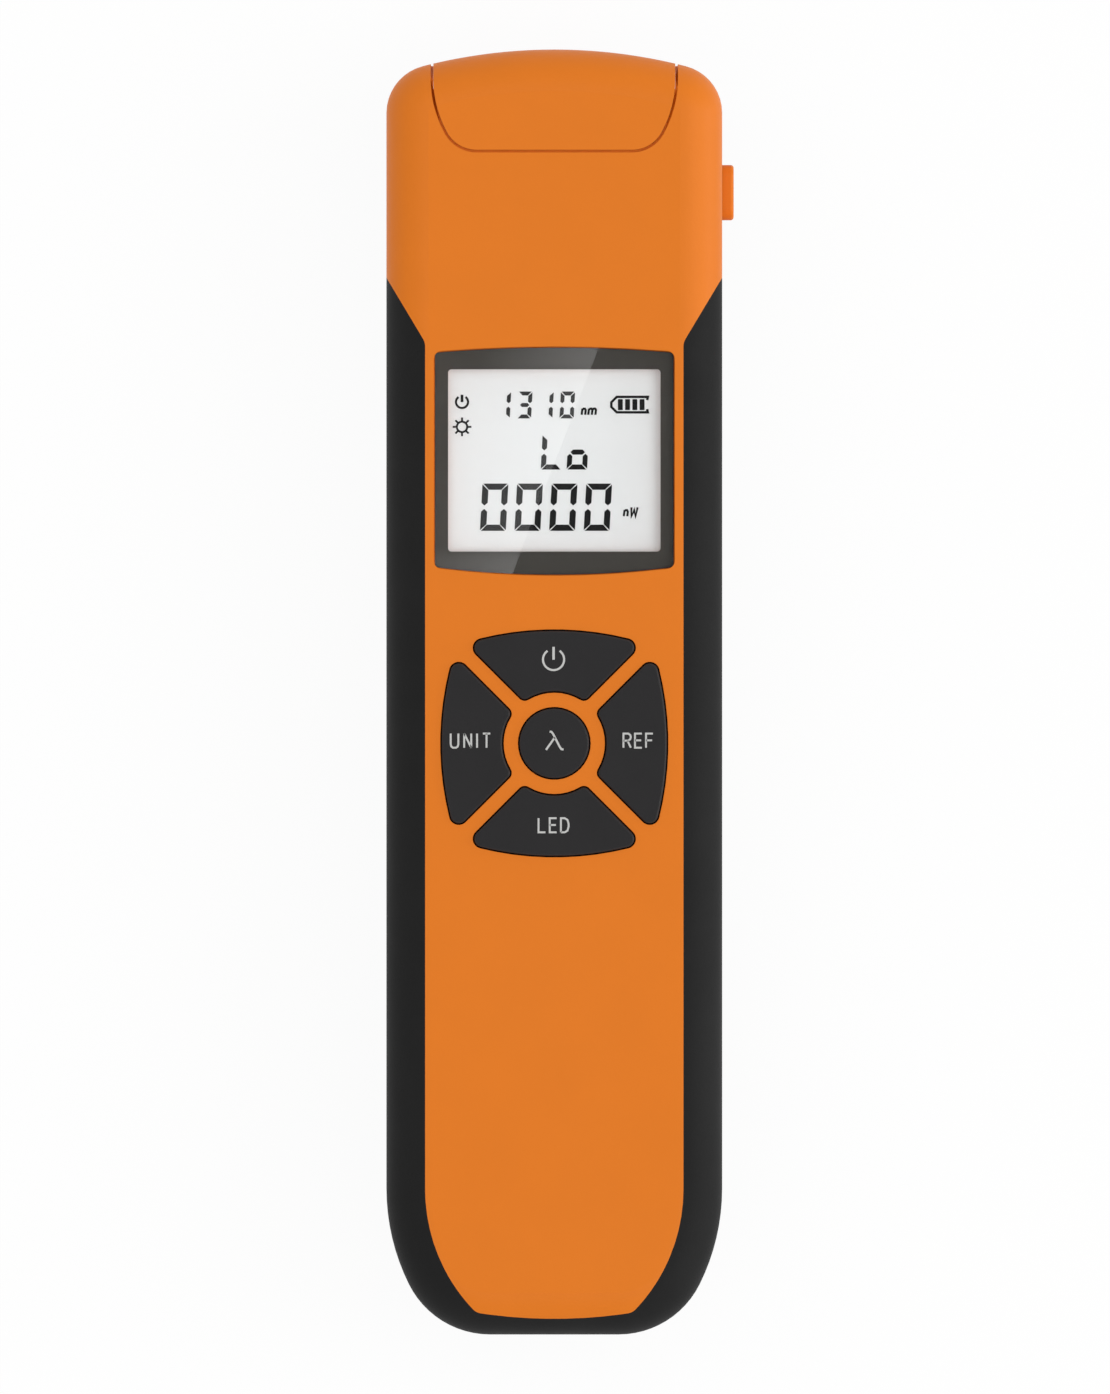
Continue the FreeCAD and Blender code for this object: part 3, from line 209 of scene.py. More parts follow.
class LegendSizes(bpy.types.PropertyGroup):
    """Print on the front keys."""

    letter_height: length("Letter height", "Capitals on the keys", 2.12)
    letter_stroke: length("Letter stroke", "Strokes of the capitals", 0.25)
    symbol_radius: length("Power symbol radius", "Open ring of the power symbol", 1.4)
    symbol_stroke: length("Symbol stroke", "Strokes of the two symbols", 0.27)
    reach: length("Legend reach", "From the keypad's middle to the legends of the ring", 11.1)
    rise: length("Legend rise", "How far the side and middle legends sit towards the head", 0.36)
    led_rise: length("LED rise", "How far the word LED sits towards the head", 0.26)
    spine: offset("Legend spine", "Power symbol and the word LED, from the keypad's middle, across", -0.1)
    unit_space: length("UNIT spacing", "Between the letters of UNIT", 0.52)
    ref_space: length("REF spacing", "Between the letters of REF", 0.3)
    led_space: length("LED spacing", "Between the letters of LED", 0.32)
    film: length("Print thickness", "How far the print stands on the keys", 0.02)


class FittingSizes(bpy.types.PropertyGroup):
    """Small repeated fittings."""

    knurl_count: IntProperty(name="Knurl ribs", description="Ribs round the detector adapter", default=36,
                             min=3)
    knurl_height: length("Knurl height", "How far each rib stands out", 0.16)
    knurl_width: length("Knurl width", "Width of each rib at its foot", 0.44)
    knurl_start: length("Knurl start", "From the adapter's back to the ribs' near ends", 0.35)
    knurl_end: length("Knurl end", "From the adapter's back to the ribs' far ends", 2.75)
    seal_gap: length("Seal clearance", "Between the seam strip and the cover that lifts past it", 0.03)
    seal_width: length("Seal width", "Across the seam and a little into its wall", 0.37)
    seal_depth: length("Seal depth", "How far the strip lies below the meter's face", 0.6)
    seal_height: length("Seal height", "Height of the strip where it rests on the sill", 1.0)
    seal_drop: length("Seal drop", "Height of the strip beside the ports", 6.0)
    seal_head: length("Seal end", "From the cover's crown back to the strip's ends", 2.2)
    seal_sill: length("Seal sill", "From the cover's crown back to the sill", 11.5)
    seal_corner: length("Seal corner", "Rounding of the strip at the head", 5.0)
    battery_bars: IntProperty(name="Battery bars", description="Bars in the battery sign", default=4, min=1)
    sun_rays: IntProperty(name="Sun rays", description="Rays of the backlight sign", default=8, min=3)


class StudioSizes(bpy.types.PropertyGroup):
    """Camera, lamps and floor."""

    camera_distance: FloatProperty(name="Camera distance", description="Camera above the meter's outline",
                                   default=5.0, min=0.1, unit="LENGTH")
    framed_length: FloatProperty(name="Framed length", default=0.18496, min=0.01, unit="LENGTH", precision=5,
                                 description="Length that the picture's height takes in")
    aim_x: FloatProperty(name="Aim across", description="Picture's middle, across the meter",
                         default=0.000093, unit="LENGTH", precision=6)
    aim_y: FloatProperty(name="Aim along", description="Picture's middle, along the meter",
                         default=-0.000663, unit="LENGTH", precision=6)
    world_light: FloatProperty(name="Sky light", description="Even light from all round", default=0.56,
                               min=0.0)
    key_power: power("Key lamp", "Power of the lamp above right", 6.5)
    side_power: power("Side lamp", "Power of the low lamp at the right", 5.0)
    top_power: power("Top lamp", "Power of the broad lamp overhead", 8.0)
    floor_drop: length("Floor drop", "Floor's depth under the meter, clear of the open cover", 8.5)
    sheen_top: offset("Sheen top", "Slanting edge of the sheen at the lens's head end, across", 5.85)
    sheen_foot: offset("Sheen foot", "Slanting edge of the sheen at the lens's tail end, across", -5.65)
    sheen_spare: length("Sheen spare", "How far the bright card passes the lens at the left", 5.0)
    sheen_start: length("Sheen start", "From the lens's middle to where its brighter ends begin", 11.0)
    sheen_full: length("Sheen full", "From the lens's middle to where those ends are brightest", 13.0)
    sheen_least: FloatProperty(name="Sheen least", description="Light of the bright card at its left end",
                               default=0.2, min=0.0)
    sheen_gain: FloatProperty(name="Sheen gain", description="Light that it gains up to its slanting edge",
                              default=0.62, min=0.0)
    sheen_ends: FloatProperty(name="Sheen ends", description="Light that it gains besides past the window",
                              default=1.5, min=0.0)
    card_half: length("Card half", "Half the width of the dim card", 350.0)
    dark_light: FloatProperty(name="Dim card light", description="Light of the dim card", default=0.12,
                              min=0.0)
    floor_size: FloatProperty(name="Floor size", description="Width of the floor", default=12.0, min=0.5,
                              unit="LENGTH")


GROUPS = {
    "meter_colours": MeterColours,
    "meter_display": DisplaySizes,
    "meter_legends": LegendSizes,
    "meter_fittings": FittingSizes,
    "meter_studio": StudioSizes,
}


# ---------------------------------------------------------------- node trees


def feed(tree, node, inputs):
    """Link each input that is given as a socket, and set any other value."""
    for name, value in inputs.items():
        if isinstance(value, bpy.types.NodeSocket):
            tree.links.new(value, node.inputs[name])
        else:
            node.inputs[name].default_value = value


def add(tree, kind, inputs=None, **settings):
    """Add a node with its settings and inputs."""
    made = tree.nodes.new(kind)
    for name, value in settings.items():
        setattr(made, name, value)
    feed(tree, made, inputs or {})
    return made


def maths(tree, operation, one, other=0.0):
    """Result of a Math node on two sockets or numbers."""
    return add(tree, "ShaderNodeMath", {0: one, 1: other}, operation=operation).outputs[0]


def vectors(tree, operation, one, other=(0.0, 0.0, 0.0)):
    """Result of a Vector Math node: a number for a length or a distance, else a vector."""
    made = add(tree, "ShaderNodeVectorMath", {0: one, 1: other}, operation=operation)
    return made.outputs["Value" if operation in ("LENGTH", "DISTANCE") else "Vector"]


def noise(tree, where, scale, detail, **inputs):
    """Value of a noise texture."""
    inputs = {"Vector": where, "Scale": scale, "Detail": detail, **inputs}
    return add(tree, "ShaderNodeTexNoise", inputs).outputs[0]


def blend_colours(tree, share, one, other):
    """Colour mixed from one to other by share."""
    first, second, result = MIX_COLOUR_SOCKETS
    mix = add(tree, "ShaderNodeMix", {"Factor": share, first: one, second: other}, data_type="RGBA")
    return mix.outputs[result]


def step_mask(tree, value, low, high):
    """0 below low, 1 above high, straight between."""
    return add(tree, "ShaderNodeMapRange", {"Value": value, "From Min": low, "From Max": high}).outputs[0]


def near_mask(tree, value, low, high):
    """1 below low, 0 above high, straight between."""
    return maths(tree, "SUBTRACT", 1.0, step_mask(tree, value, low, high))


def mix_shaders(tree, share, one, other):
    """Shader mixed from one node to the other by share."""
    return add(tree, "ShaderNodeMixShader", {0: share, 1: one.outputs[0], 2: other.outputs[0]})


def emptied(data):
    """Node tree of a material or world, with nothing in it."""
    data.use_nodes = True
    data.node_tree.nodes.clear()
    return data.node_tree


def shared_group(name, make):
    """Node group of this name, made when it is first asked for."""
    return bpy.data.node_groups.get(name) or make(name)


def shader_group(name, inputs, outputs):
    """Empty shader group with named sockets; returns the tree and its two ends."""
    tree = bpy.data.node_groups.new(name, "ShaderNodeTree")
    for label, kind, value in inputs:
        socket = tree.interface.new_socket(name=label, in_out="INPUT", socket_type=kind)
        if value is not None:
            socket.default_value = value
    for label in outputs:
        tree.interface.new_socket(name=label, in_out="OUTPUT", socket_type="NodeSocketFloat")
    return tree, add(tree, "NodeGroupInput"), add(tree, "NodeGroupOutput")


def moulded_grain(name):
    """Fine eroded texture of a moulding tool, with a faint mottle in its shade and gloss."""
    tree, start, end = shader_group(name, [
        ("Vector", "NodeSocketVector", None),
        ("Grain", "NodeSocketFloat", 0.35),
        ("Mottle", "NodeSocketFloat", 8.0),
    ], ["Height", "Shade", "Gloss"])
    where = start.outputs["Vector"]
    per_grain = maths(tree, "DIVIDE", 1.0 / MM, start.outputs["Grain"])
    per_mottle = maths(tree, "DIVIDE", 1.0 / MM, start.outputs["Mottle"])
    fine = noise(tree, where, per_grain, 3.0, Roughness=0.55)
    cloud = noise(tree, where, per_mottle, 4.0, Roughness=0.6)
    per_pit = maths(tree, "MULTIPLY", per_grain, 0.7)
    pits = add(tree, "ShaderNodeTexVoronoi", {"Vector": where, "Scale": per_pit})
    height = maths(tree, "ADD", maths(tree, "MULTIPLY", fine, 0.6),
                   maths(tree, "MULTIPLY", pits.outputs["Distance"], 0.4))
    feed(tree, end, {"Height": height, "Shade": step_mask(tree, cloud, 0.3, 0.7),
                     "Gloss": step_mask(tree, fine, 0.25, 0.75)})
    return tree


def handling_marks(name):
    """Soft smears where hands have dulled or polished a surface."""
    tree, start, end = shader_group(name, [
        ("Vector", "NodeSocketVector", None),
        ("Size", "NodeSocketFloat", 14.0),
    ], ["Smear"])
    stretched = vectors(tree, "MULTIPLY", start.outputs["Vector"], (1.0, 0.45, 1.0))
    per_size = maths(tree, "DIVIDE", 1.0 / MM, start.outputs["Size"])
    smear = noise(tree, stretched, per_size, 5.0, Roughness=0.65, Distortion=0.6)
    feed(tree, end, {"Smear": step_mask(tree, smear, 0.42, 0.72)})
    return tree


def turning_marks(name):
    """Fine tool marks round a part that was turned about the Y axis."""
    tree, start, end = shader_group(name, [
        ("Vector", "NodeSocketVector", None),
        ("Pitch", "NodeSocketFloat", 0.12),
    ], ["Height"])
    along = add(tree, "ShaderNodeSeparateXYZ", {0: start.outputs["Vector"]}).outputs["Y"]
    radius = vectors(tree, "LENGTH", vectors(tree, "MULTIPLY", start.outputs["Vector"], (1.0, 0.0, 1.0)))
    travel = maths(tree, "DIVIDE", maths(tree, "ADD", along, radius),
                   maths(tree, "MULTIPLY", start.outputs["Pitch"], MM))
    groove = add(tree, "ShaderNodeTexNoise", {"W": travel, "Scale": 1.0, "Detail": 2.0},
                 noise_dimensions="1D")
    feed(tree, end, {"Height": groove.outputs[0]})
    return tree


def place_group(tree, make, **inputs):
    """Add a node that holds the shader group that a function makes, named after the function."""
    group = shared_group(make.__name__.replace("_", " "), make)
    return add(tree, "ShaderNodeGroup", inputs, node_tree=group)


def new_material(name):
    """Material with one Principled shader; returns it, its tree, the shader and Object coordinates."""
    made = bpy.data.materials.new(name)
    made.use_nodes = True
    tree = made.node_tree
    shader = tree.nodes["Principled BSDF"]
    where = add(tree, "ShaderNodeTexCoord").outputs["Object"]
    return made, tree, shader, where


def bump(tree, height, depth):
    """Normal from a height of 0 to 1 and a depth in millimetres."""
    return add(tree, "ShaderNodeBump", {"Height": height, "Distance": depth * MM, "Strength": 1.0}).outputs[0]


def finished_base(material):
    """Tree, shader, Object coordinates and base colour of a finished material, for a further layer."""
    tree = material.node_tree
    shader = tree.nodes["Principled BSDF"]
    where = next(item for item in tree.nodes if item.type == "TEX_COORD").outputs["Object"]
    return tree, shader, where, shader.inputs["Base Color"].links[0].from_socket


def shaded(colour_value, factor):
    """The colour made darker or lighter by a factor."""
    return (*(min(1.0, channel * factor) for channel in colour_value[:3]), 1.0)


def moulded_plastic(name, base, rough, grain, depth, specular=0.3, mottle=0.05, smear=0.06):
    """Moulded plastic or rubber: eroded grain, faint mottle, soft smears in its gloss."""
    made, tree, shader, where = new_material(name)
    fine = place_group(tree, moulded_grain, Vector=where, Grain=grain)
    marks = place_group(tree, handling_marks, Vector=where)
    tone = blend_colours(tree, fine.outputs["Shade"], shaded(base, 1 - mottle), shaded(base, 1 + mottle))
    gloss = maths(tree, "ADD", rough - 0.03, maths(tree, "MULTIPLY", fine.outputs["Gloss"], 0.06))
    dulled = maths(tree, "SUBTRACT", gloss, maths(tree, "MULTIPLY", marks.outputs["Smear"], smear))
    feed(tree, shader, {"Base Color": tone, "Roughness": dulled, "Specular IOR Level": specular,
                        "Normal": bump(tree, fine.outputs["Height"], depth)})
    return made


def turned_metal(name, base, rough, pitch=0.12):
    """Bare or plated metal with fine tool marks."""
    made, tree, shader, where = new_material(name)
    marks = place_group(tree, turning_marks, Vector=where, Pitch=pitch)
    smears = place_group(tree, handling_marks, Vector=where, Size=3.0)
    tone = blend_colours(tree, marks.outputs["Height"], shaded(base, 0.93), base)
    gloss = maths(tree, "ADD", rough, maths(tree, "MULTIPLY", smears.outputs["Smear"], 0.1))
    feed(tree, shader, {"Base Color": tone, "Metallic": 1.0, "Roughness": gloss,
                        "Normal": bump(tree, marks.outputs["Height"], 0.004)})
    return made


def finish_nodes(material, *names):
    """Give CAD nodes their material."""
    for name in names:
        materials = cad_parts[name].data.materials
        materials.clear()
        materials.append(material)


# ---------------------------------------------------------------- meshes


def new_object(name, data):
    """Object for a mesh, lamp or camera, in the scene."""
    made = bpy.data.objects.new(name, data)
    bpy.context.scene.collection.objects.link(made)
    return made


def piece(name, mesh, material, body):
    """Object for a finished mesh, riding on its body."""
    if material:
        mesh.materials.clear()
        mesh.materials.append(material)
    made = new_object(name, mesh)
    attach(made, body)
    return made


def mesh_from(name, build):
    """Mesh that a function builds in a bmesh, its doubles merged and its faces pointing outwards."""
    shape = bmesh.new()
    build(shape)
    bmesh.ops.remove_doubles(shape, verts=shape.verts, dist=1e-7)
    bmesh.ops.recalc_face_normals(shape, faces=shape.faces)
    mesh = bpy.data.meshes.new(name)
    shape.to_mesh(mesh)
    shape.free()
    return mesh


def drawn(name, material, body, build):
    """Piece whose mesh a function builds in a bmesh."""
    return piece(name, mesh_from(name, build), material, body)


def row(shape, outline, height):
    """Vertices of a plan outline at one height."""
    return [shape.verts.new((x, y, height)) for x, y in outline]


def bridge(shape, here, there):
    """Faces between two closed rows of as many vertices each."""
    for index in range(len(here)):
        after = (index + 1) % len(here)
        shape.faces.new((here[index], here[after], there[after], there[index]))


def slab(shape, outline, low, high):
    """Closed prism on a plan outline, from height low to high."""
    under, over = row(shape, outline, low), row(shape, outline, high)
    shape.faces.new(list(reversed(under)))
    shape.faces.new(over)
    bridge(shape, under, over)


def ring_slab(shape, outside, inside, low, high):
    """Closed band between two outlines of as many points each."""
    rows = [row(shape, line, z) for line, z in
            ((outside, low), (outside, high), (inside, high), (inside, low))]
    for here, there in zip(rows, rows[1:] + rows[:1]):
        bridge(shape, here, there)


def ribbon_outline(path, stroke, closed=False):
    """Left and right edges of a stroke along a path, mitred at its bends."""
    points = [Vector(point) for point in path]
    left, right = [], []
    for index, point in enumerate(points):
        before = points[index - 1] if index or closed else None
        after = points[(index + 1) % len(points)] if index < len(points) - 1 or closed else None
        ways = [(b - a).normalized() for a, b in ((before, point), (point, after)) if a and b]
        way = sum(ways, Vector((0, 0))).normalized()
        side = Vector((-way.y, way.x))
        reach = stroke / 2 / max(0.35, side.dot(Vector((-ways[0].y, ways[0].x))))
        left.append(tuple(point + side * reach))
        right.append(tuple(point - side * reach))
    return left, right


def ribbon(shape, path, stroke, low, high, closed=False):
    """Flat stroke along a path, as a closed prism."""
    left, right = ribbon_outline(path, stroke, closed)
    if closed:
        ring_slab(shape, left, right, low, high)
    else:
        slab(shape, right + left[::-1], low, high)


def arc_points(centre, radius, start, end, count):
    """Points on a circle from one angle to another, in degrees."""
    return [(centre[0] + radius * math.cos(math.radians(start + (end - start) * index / count)),
             centre[1] + radius * math.sin(math.radians(start + (end - start) * index / count)))
            for index in range(count + 1)]


def rounded_box(centre, width, height, radius, steps=6):
    """Outline of a rectangle with round corners, counter-clockwise."""
    points = []
    for index, (x, y) in enumerate(((1, 1), (-1, 1), (-1, -1), (1, -1))):
        middle_point = (centre[0] + x * (width / 2 - radius), centre[1] + y * (height / 2 - radius))
        points += arc_points(middle_point, radius, 90 * index, 90 * index + 90, steps)
    return points


def sheet(name, corners, height, material, upward=True):
    """Flat studio object on four corners, facing up or down."""
    mesh = bpy.data.meshes.new(name)
    order = (0, 1, 2, 3) if upward else (3, 2, 1, 0)
    mesh.from_pydata([(x, y, height) for x, y in corners], [], [order])
    mesh.materials.append(material)
    return new_object(name, mesh)


def square(half):
    """Corners of a square about the middle, counter-clockwise."""
    return [(-half, -half), (half, -half), (half, half), (-half, half)]


# ---------------------------------------------------------------- repeats


def copies_tree(name):
    """Geometry Nodes tree: copies of the mesh along a line, each turned a little further."""
    tree = bpy.data.node_groups.new(name, "GeometryNodeTree")
    tree.interface.new_socket(name="Geometry", in_out="INPUT", socket_type="NodeSocketGeometry")
    for label, kind in (("Count", "NodeSocketInt"), ("Start", "NodeSocketVector"),
                        ("Step", "NodeSocketVector"), ("Turn", "NodeSocketVector"),
                        ("Material", "NodeSocketMaterial")):
        tree.interface.new_socket(name=label, in_out="INPUT", socket_type=kind)
    tree.interface.new_socket(name="Geometry", in_out="OUTPUT", socket_type="NodeSocketGeometry")
    start, end = add(tree, "NodeGroupInput"), add(tree, "NodeGroupOutput")
    points = add(tree, "GeometryNodeMeshLine", {"Count": start.outputs["Count"],
                                                "Start Location": start.outputs["Start"],
                                                "Offset": start.outputs["Step"]})
    turn = add(tree, "ShaderNodeVectorMath", {0: start.outputs["Turn"]}, operation="SCALE")
    tree.links.new(add(tree, "GeometryNodeInputIndex").outputs[0], turn.inputs["Scale"])
    copies = add(tree, "GeometryNodeInstanceOnPoints", {"Points": points.outputs[0],
                                                        "Instance": start.outputs["Geometry"],
                                                        "Rotation": turn.outputs[0]})
    real = add(tree, "GeometryNodeRealizeInstances", {0: copies.outputs[0]})
    dressed = add(tree, "GeometryNodeSetMaterial", {"Geometry": real.outputs[0],
                                                    "Material": start.outputs["Material"]})
    tree.links.new(dressed.outputs[0], end.inputs[0])
    return tree


def repeated_piece(name, mesh, material, slot, **inputs):
    """Piece on the meter made of the copies that the tree makes of a mesh, as a plain mesh."""
    carrier = new_object(name + "_source", mesh)
    tree = shared_group("line of copies", copies_tree)
    modifier = carrier.modifiers.new("copies", "NODES")
    modifier.node_group = tree
    sockets = {item.name: item.identifier for item in tree.interface.items_tree if item.in_out == "INPUT"}
    for label, value in {**inputs, "Material": material}.items():
        modifier[sockets[label]] = value
    bpy.context.view_layer.update()
    shown = carrier.evaluated_get(bpy.context.evaluated_depsgraph_get())
    made = bpy.data.meshes.new_from_object(shown)
    made.name = name
    bpy.data.objects.remove(carrier)
    return piece(name, made, None, "meter")


# ---------------------------------------------------------------- segments and strokes

SEGMENTS = {"0": "abcdef", "1": "bc", "3": "abcdg", "L": "def", "o": "cdeg"}


def segment_shapes(width, height, stroke, gap):
    """The seven segments of a digit whose lower left corner is at (0, 0), each a mitred outline."""
    half, waist, cut = stroke / 2, height / 2, gap / 2
    shapes = {}
    for name, base, away in (("d", 0.0, 1), ("a", height, -1)):
        shapes[name] = [(cut * 2, base), (width - cut * 2, base),
                        (width - stroke - cut, base + away * stroke), (stroke + cut, base + away * stroke)]
    shapes["g"] = [(half + cut, waist), (stroke + cut, waist + half), (width - stroke - cut, waist + half),
                   (width - half - cut, waist), (width - stroke - cut, waist - half),
                   (stroke + cut, waist - half)]
    for name, base, away, edge, inward in (("e", 0.0, 1, 0.0, 1), ("f", height, -1, 0.0, 1),
                                           ("c", 0.0, 1, width, -1), ("b", height, -1, width, -1)):
        tip = waist - away * (gap * 2) if base == 0.0 else waist + gap * 2
        shoulder = tip - away * half * 0.9
        shapes[name] = [(edge, base + away * cut * 2), (edge, shoulder), (edge + inward * half, tip),
                        (edge + inward * stroke, shoulder),
                        (edge + inward * stroke, base + away * (stroke + cut))]
    return shapes


def draw_digit(shape, sign, place, width, height, stroke, sizes, low):
    """One segment digit or letter with its lower left corner at place."""
    outlines = segment_shapes(width, height, stroke, sizes.segment_gap)
    for name in SEGMENTS[sign]:
        leaning = [(place[0] + x + y * sizes.slant, place[1] + y) for x, y in outlines[name]]
        slab(shape, leaning, low, low + sizes.film)


# Strokes of the letters on the keys, in shares of the letter's width and height. A stroke that meets
# another starts or ends on its edge.
LETTERS = {
    "U": (0.48, [[(0, 1), (0, 0.26), (0.09, 0.08), (0.3, 0), (0.7, 0), (0.91, 0.08), (1, 0.26), (1, 1)]]),
    "N": (0.44, [[(0, 0), (0, 1)], [(0, 1), (1, 0)], [(1, 0), (1, 1)]]),
    "I": (0.0, [[(0, 0), (0, 1)]]),
    "T": (0.46, [[(0, 1), (1, 1)], [(0.5, 0), (0.5, 1)]]),
    "R": (0.46, [[(0, 0), (0, 1), (0.66, 1), (0.93, 0.9), (1, 0.76), (0.93, 0.6), (0.66, 0.5), (0, 0.5)],
                 [(0.55, 0.5), (1, 0)]]),
    "E": (0.43, [[(1, 1), (0, 1), (0, 0), (1, 0)], [(0, 0.52), (0.9, 0.52)]]),
    "F": (0.43, [[(1, 1), (0, 1), (0, 0)], [(0, 0.52), (0.88, 0.52)]]),
    "L": (0.43, [[(0, 1), (0, 0), (1, 0)]]),
    "D": (0.48, [[(0, 0), (0, 1), (0.5, 1), (0.85, 0.88), (1, 0.6), (1, 0.4), (0.85, 0.12), (0.5, 0),
                  (0, 0)]]),
    "n": (0.42, [[(0, 0), (0, 1)], [(0, 0.8), (0.35, 1), (0.7, 1), (1, 0.75), (1, 0)]]),
    "m": (0.86, [[(0, 0), (0, 1)], [(0, 0.8), (0.2, 1), (0.36, 1), (0.5, 0.8), (0.5, 0)],
                 [(0.5, 0.8), (0.68, 1), (0.86, 1), (1, 0.8), (1, 0)]]),
    "W": (0.74, [[(0, 1.45), (0.16, 0), (0.5, 1.05), (0.84, 0), (1, 1.45)]]),
}


def word_width(word, height, stroke, space):
    """Outer width of a word as draw_word draws it."""
    return sum(LETTERS[letter][0] * height + stroke for letter in word) + space * (len(word) - 1)


def draw_word(shape, word, place, height, stroke, space, low, high, slant=0.0):
    """Letters of a word whose outer box starts at place, each stroke a flat ribbon."""
    left = place[0]
    for letter in word:
        share, strokes = LETTERS[letter]
        wide, tall = share * height, height - stroke
        for path in strokes:
            points = [(left + stroke / 2 + x * wide + y * tall * slant, place[1] + stroke / 2 + y * tall)
                      for x, y in path]
            ribbon(shape, points, stroke, low, high)
        left += wide + stroke + space


def draw_power_sign(shape, centre, radius, stroke, low, high):
    """Open ring with a bar through its gap."""
    ribbon(shape, arc_points(centre, radius, 125, 415, 36), stroke, low, high)
    bar = [(centre[0], centre[1] - 0.02 * radius), (centre[0], centre[1] + 1.2 * radius)]
    ribbon(shape, bar, stroke * 1.2, low, high)


# ---------------------------------------------------------------- operators


class METER_OT_housing(bpy.types.Operator):
    """Orange shell and cover, soft grip, textured rear shell and door"""

    bl_idname = "meter.housing"
    bl_label = "Housing"

    def execute(self, context):
        colours = context.scene.meter_colours
        orange = moulded_plastic("orange shell", colours.orange, rough=0.5, grain=0.32, depth=0.012,
                                 specular=0.2, mottle=0.012)
        grip = moulded_plastic("soft grip", colours.grip, rough=0.68, grain=0.22, depth=0.014,
                               specular=0.16, mottle=0.08)
        shell = moulded_plastic("rear shell", colours.shell, rough=0.55, grain=0.5, depth=0.03,
                                specular=0.35, mottle=0.06)
        finish_nodes(orange, "front_shell", "flip_cover", "side_key")
        finish_nodes(grip, "grip_band")
        finish_nodes(shell, "rear_shell", "battery_door")
        drawn("seam_seal", orange, "meter",
              lambda shape: self.seal(shape, context.scene.meter_fittings))
        return {"FINISHED"}

    def seam_line(self, head):
        """Cover's edge in plan: down its left side from head, round its foot and up its right side."""
        plan = [vertex.co.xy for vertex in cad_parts["flip_cover"].data.vertices
                if vertex.co.z > BODY_LOW.z]
        centre = middle(COVER_LOW, COVER_HIGH)
        loop = sorted((plan[index] for index in convex_hull_2d(plan)), key=lambda point: (
            math.atan2(point.y - centre.y, point.x - centre.x) - math.pi / 2) % (2 * math.pi))
        line = []
        for here, after in zip(loop, loop[1:] + loop[:1]):
            if here.y < head:
                line.append(here)
            if (here.y < head) != (after.y < head):
                line.append(here.lerp(after, (head - here.y) / (after.y - here.y)))
        return [point for before, point in zip(line[-1:] + line, line) if (point - before).length > 0.05 * MM]

    def seal(self, shape, sizes):
        """Strip that closes the seam round the flip cover, a little below its face."""
        head, sill = COVER_HIGH.y - sizes.seal_head, COVER_HIGH.y - sizes.seal_sill
        path = ribbon_outline(self.seam_line(head), 2 * sizes.seal_gap + sizes.seal_width)[1]
        top = BODY_HIGH.z - sizes.seal_depth
        ribbon(shape, path, sizes.seal_width, 0.0, top)
        for vertex in shape.verts:
            past = max(0.0, vertex.co.y - head + sizes.seal_corner)
            drop = sizes.seal_corner - math.sqrt(max(0.0, sizes.seal_corner ** 2 - past ** 2))
            tall = sizes.seal_height if vertex.co.y < sill else sizes.seal_drop
            vertex.co.z = top - drop if vertex.co.z > 0 else top - drop - tall


def lens_glass():
    """Clear acrylic that lets the lamps through to the display."""
    made, tree, shader, where = new_material("lens acrylic")
    marks = place_group(tree, handling_marks, Vector=where, Size=6.0)
    rough = maths(tree, "MULTIPLY", marks.outputs["Smear"], 0.015)
    path = add(tree, "ShaderNodeLightPath")
    lit = maths(tree, "SUBTRACT", 1.0, path.outputs["Is Shadow Ray"])
    feed(tree, shader, {"Base Color": WHITE, "Roughness": rough, "Alpha": lit,
                        "Transmission Weight": 1.0, "IOR": 1.49})
    return made


def display_ground(base):
    """Pale reflector lit from behind, with faint fibres of the polariser."""
    made, tree, shader, where = new_material("display ground")
    weave = noise(tree, vectors(tree, "MULTIPLY", where, (1.0, 0.12, 1.0)), 2600.0, 3.0)
    tone = blend_colours(tree, weave, shaded(base, 0.975), shaded(base, 1.0))
    feed(tree, shader, {"Base Color": tone, "Emission Color": tone, "Emission Strength": 0.12,
                        "Roughness": 0.6, "Specular IOR Level": 0.2})
    return made


def lens_outline(margin, count=24):
    """Plan of the lens drawn in by margin: straight sides, crowned ends, as its own corners give it."""
    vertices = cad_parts["display_lens"].data.vertices
    points = sorted({(round(vertex.co.x, 7), round(vertex.co.y, 7)) for vertex in vertices})
    half = LENS_HIGH.x - margin
    side = [y for x, y in points if x > LENS_HIGH.x - 1e-5]
    outline = []
    for sign, crown, shoulder in ((1, LENS_HIGH.y, max(side)), (-1, LENS_LOW.y, min(side))):
        rise = abs(crown - shoulder) - LENS_CORNER_RISE
        radius = (half ** 2 + rise ** 2) / (2 * rise)
        for step in range(count + 1):
            x = sign * half * (1 - 2 * step / count)
            drop = radius - math.sqrt(radius ** 2 - x ** 2)
            outline.append((x, crown - sign * (margin + drop)))
    return outline


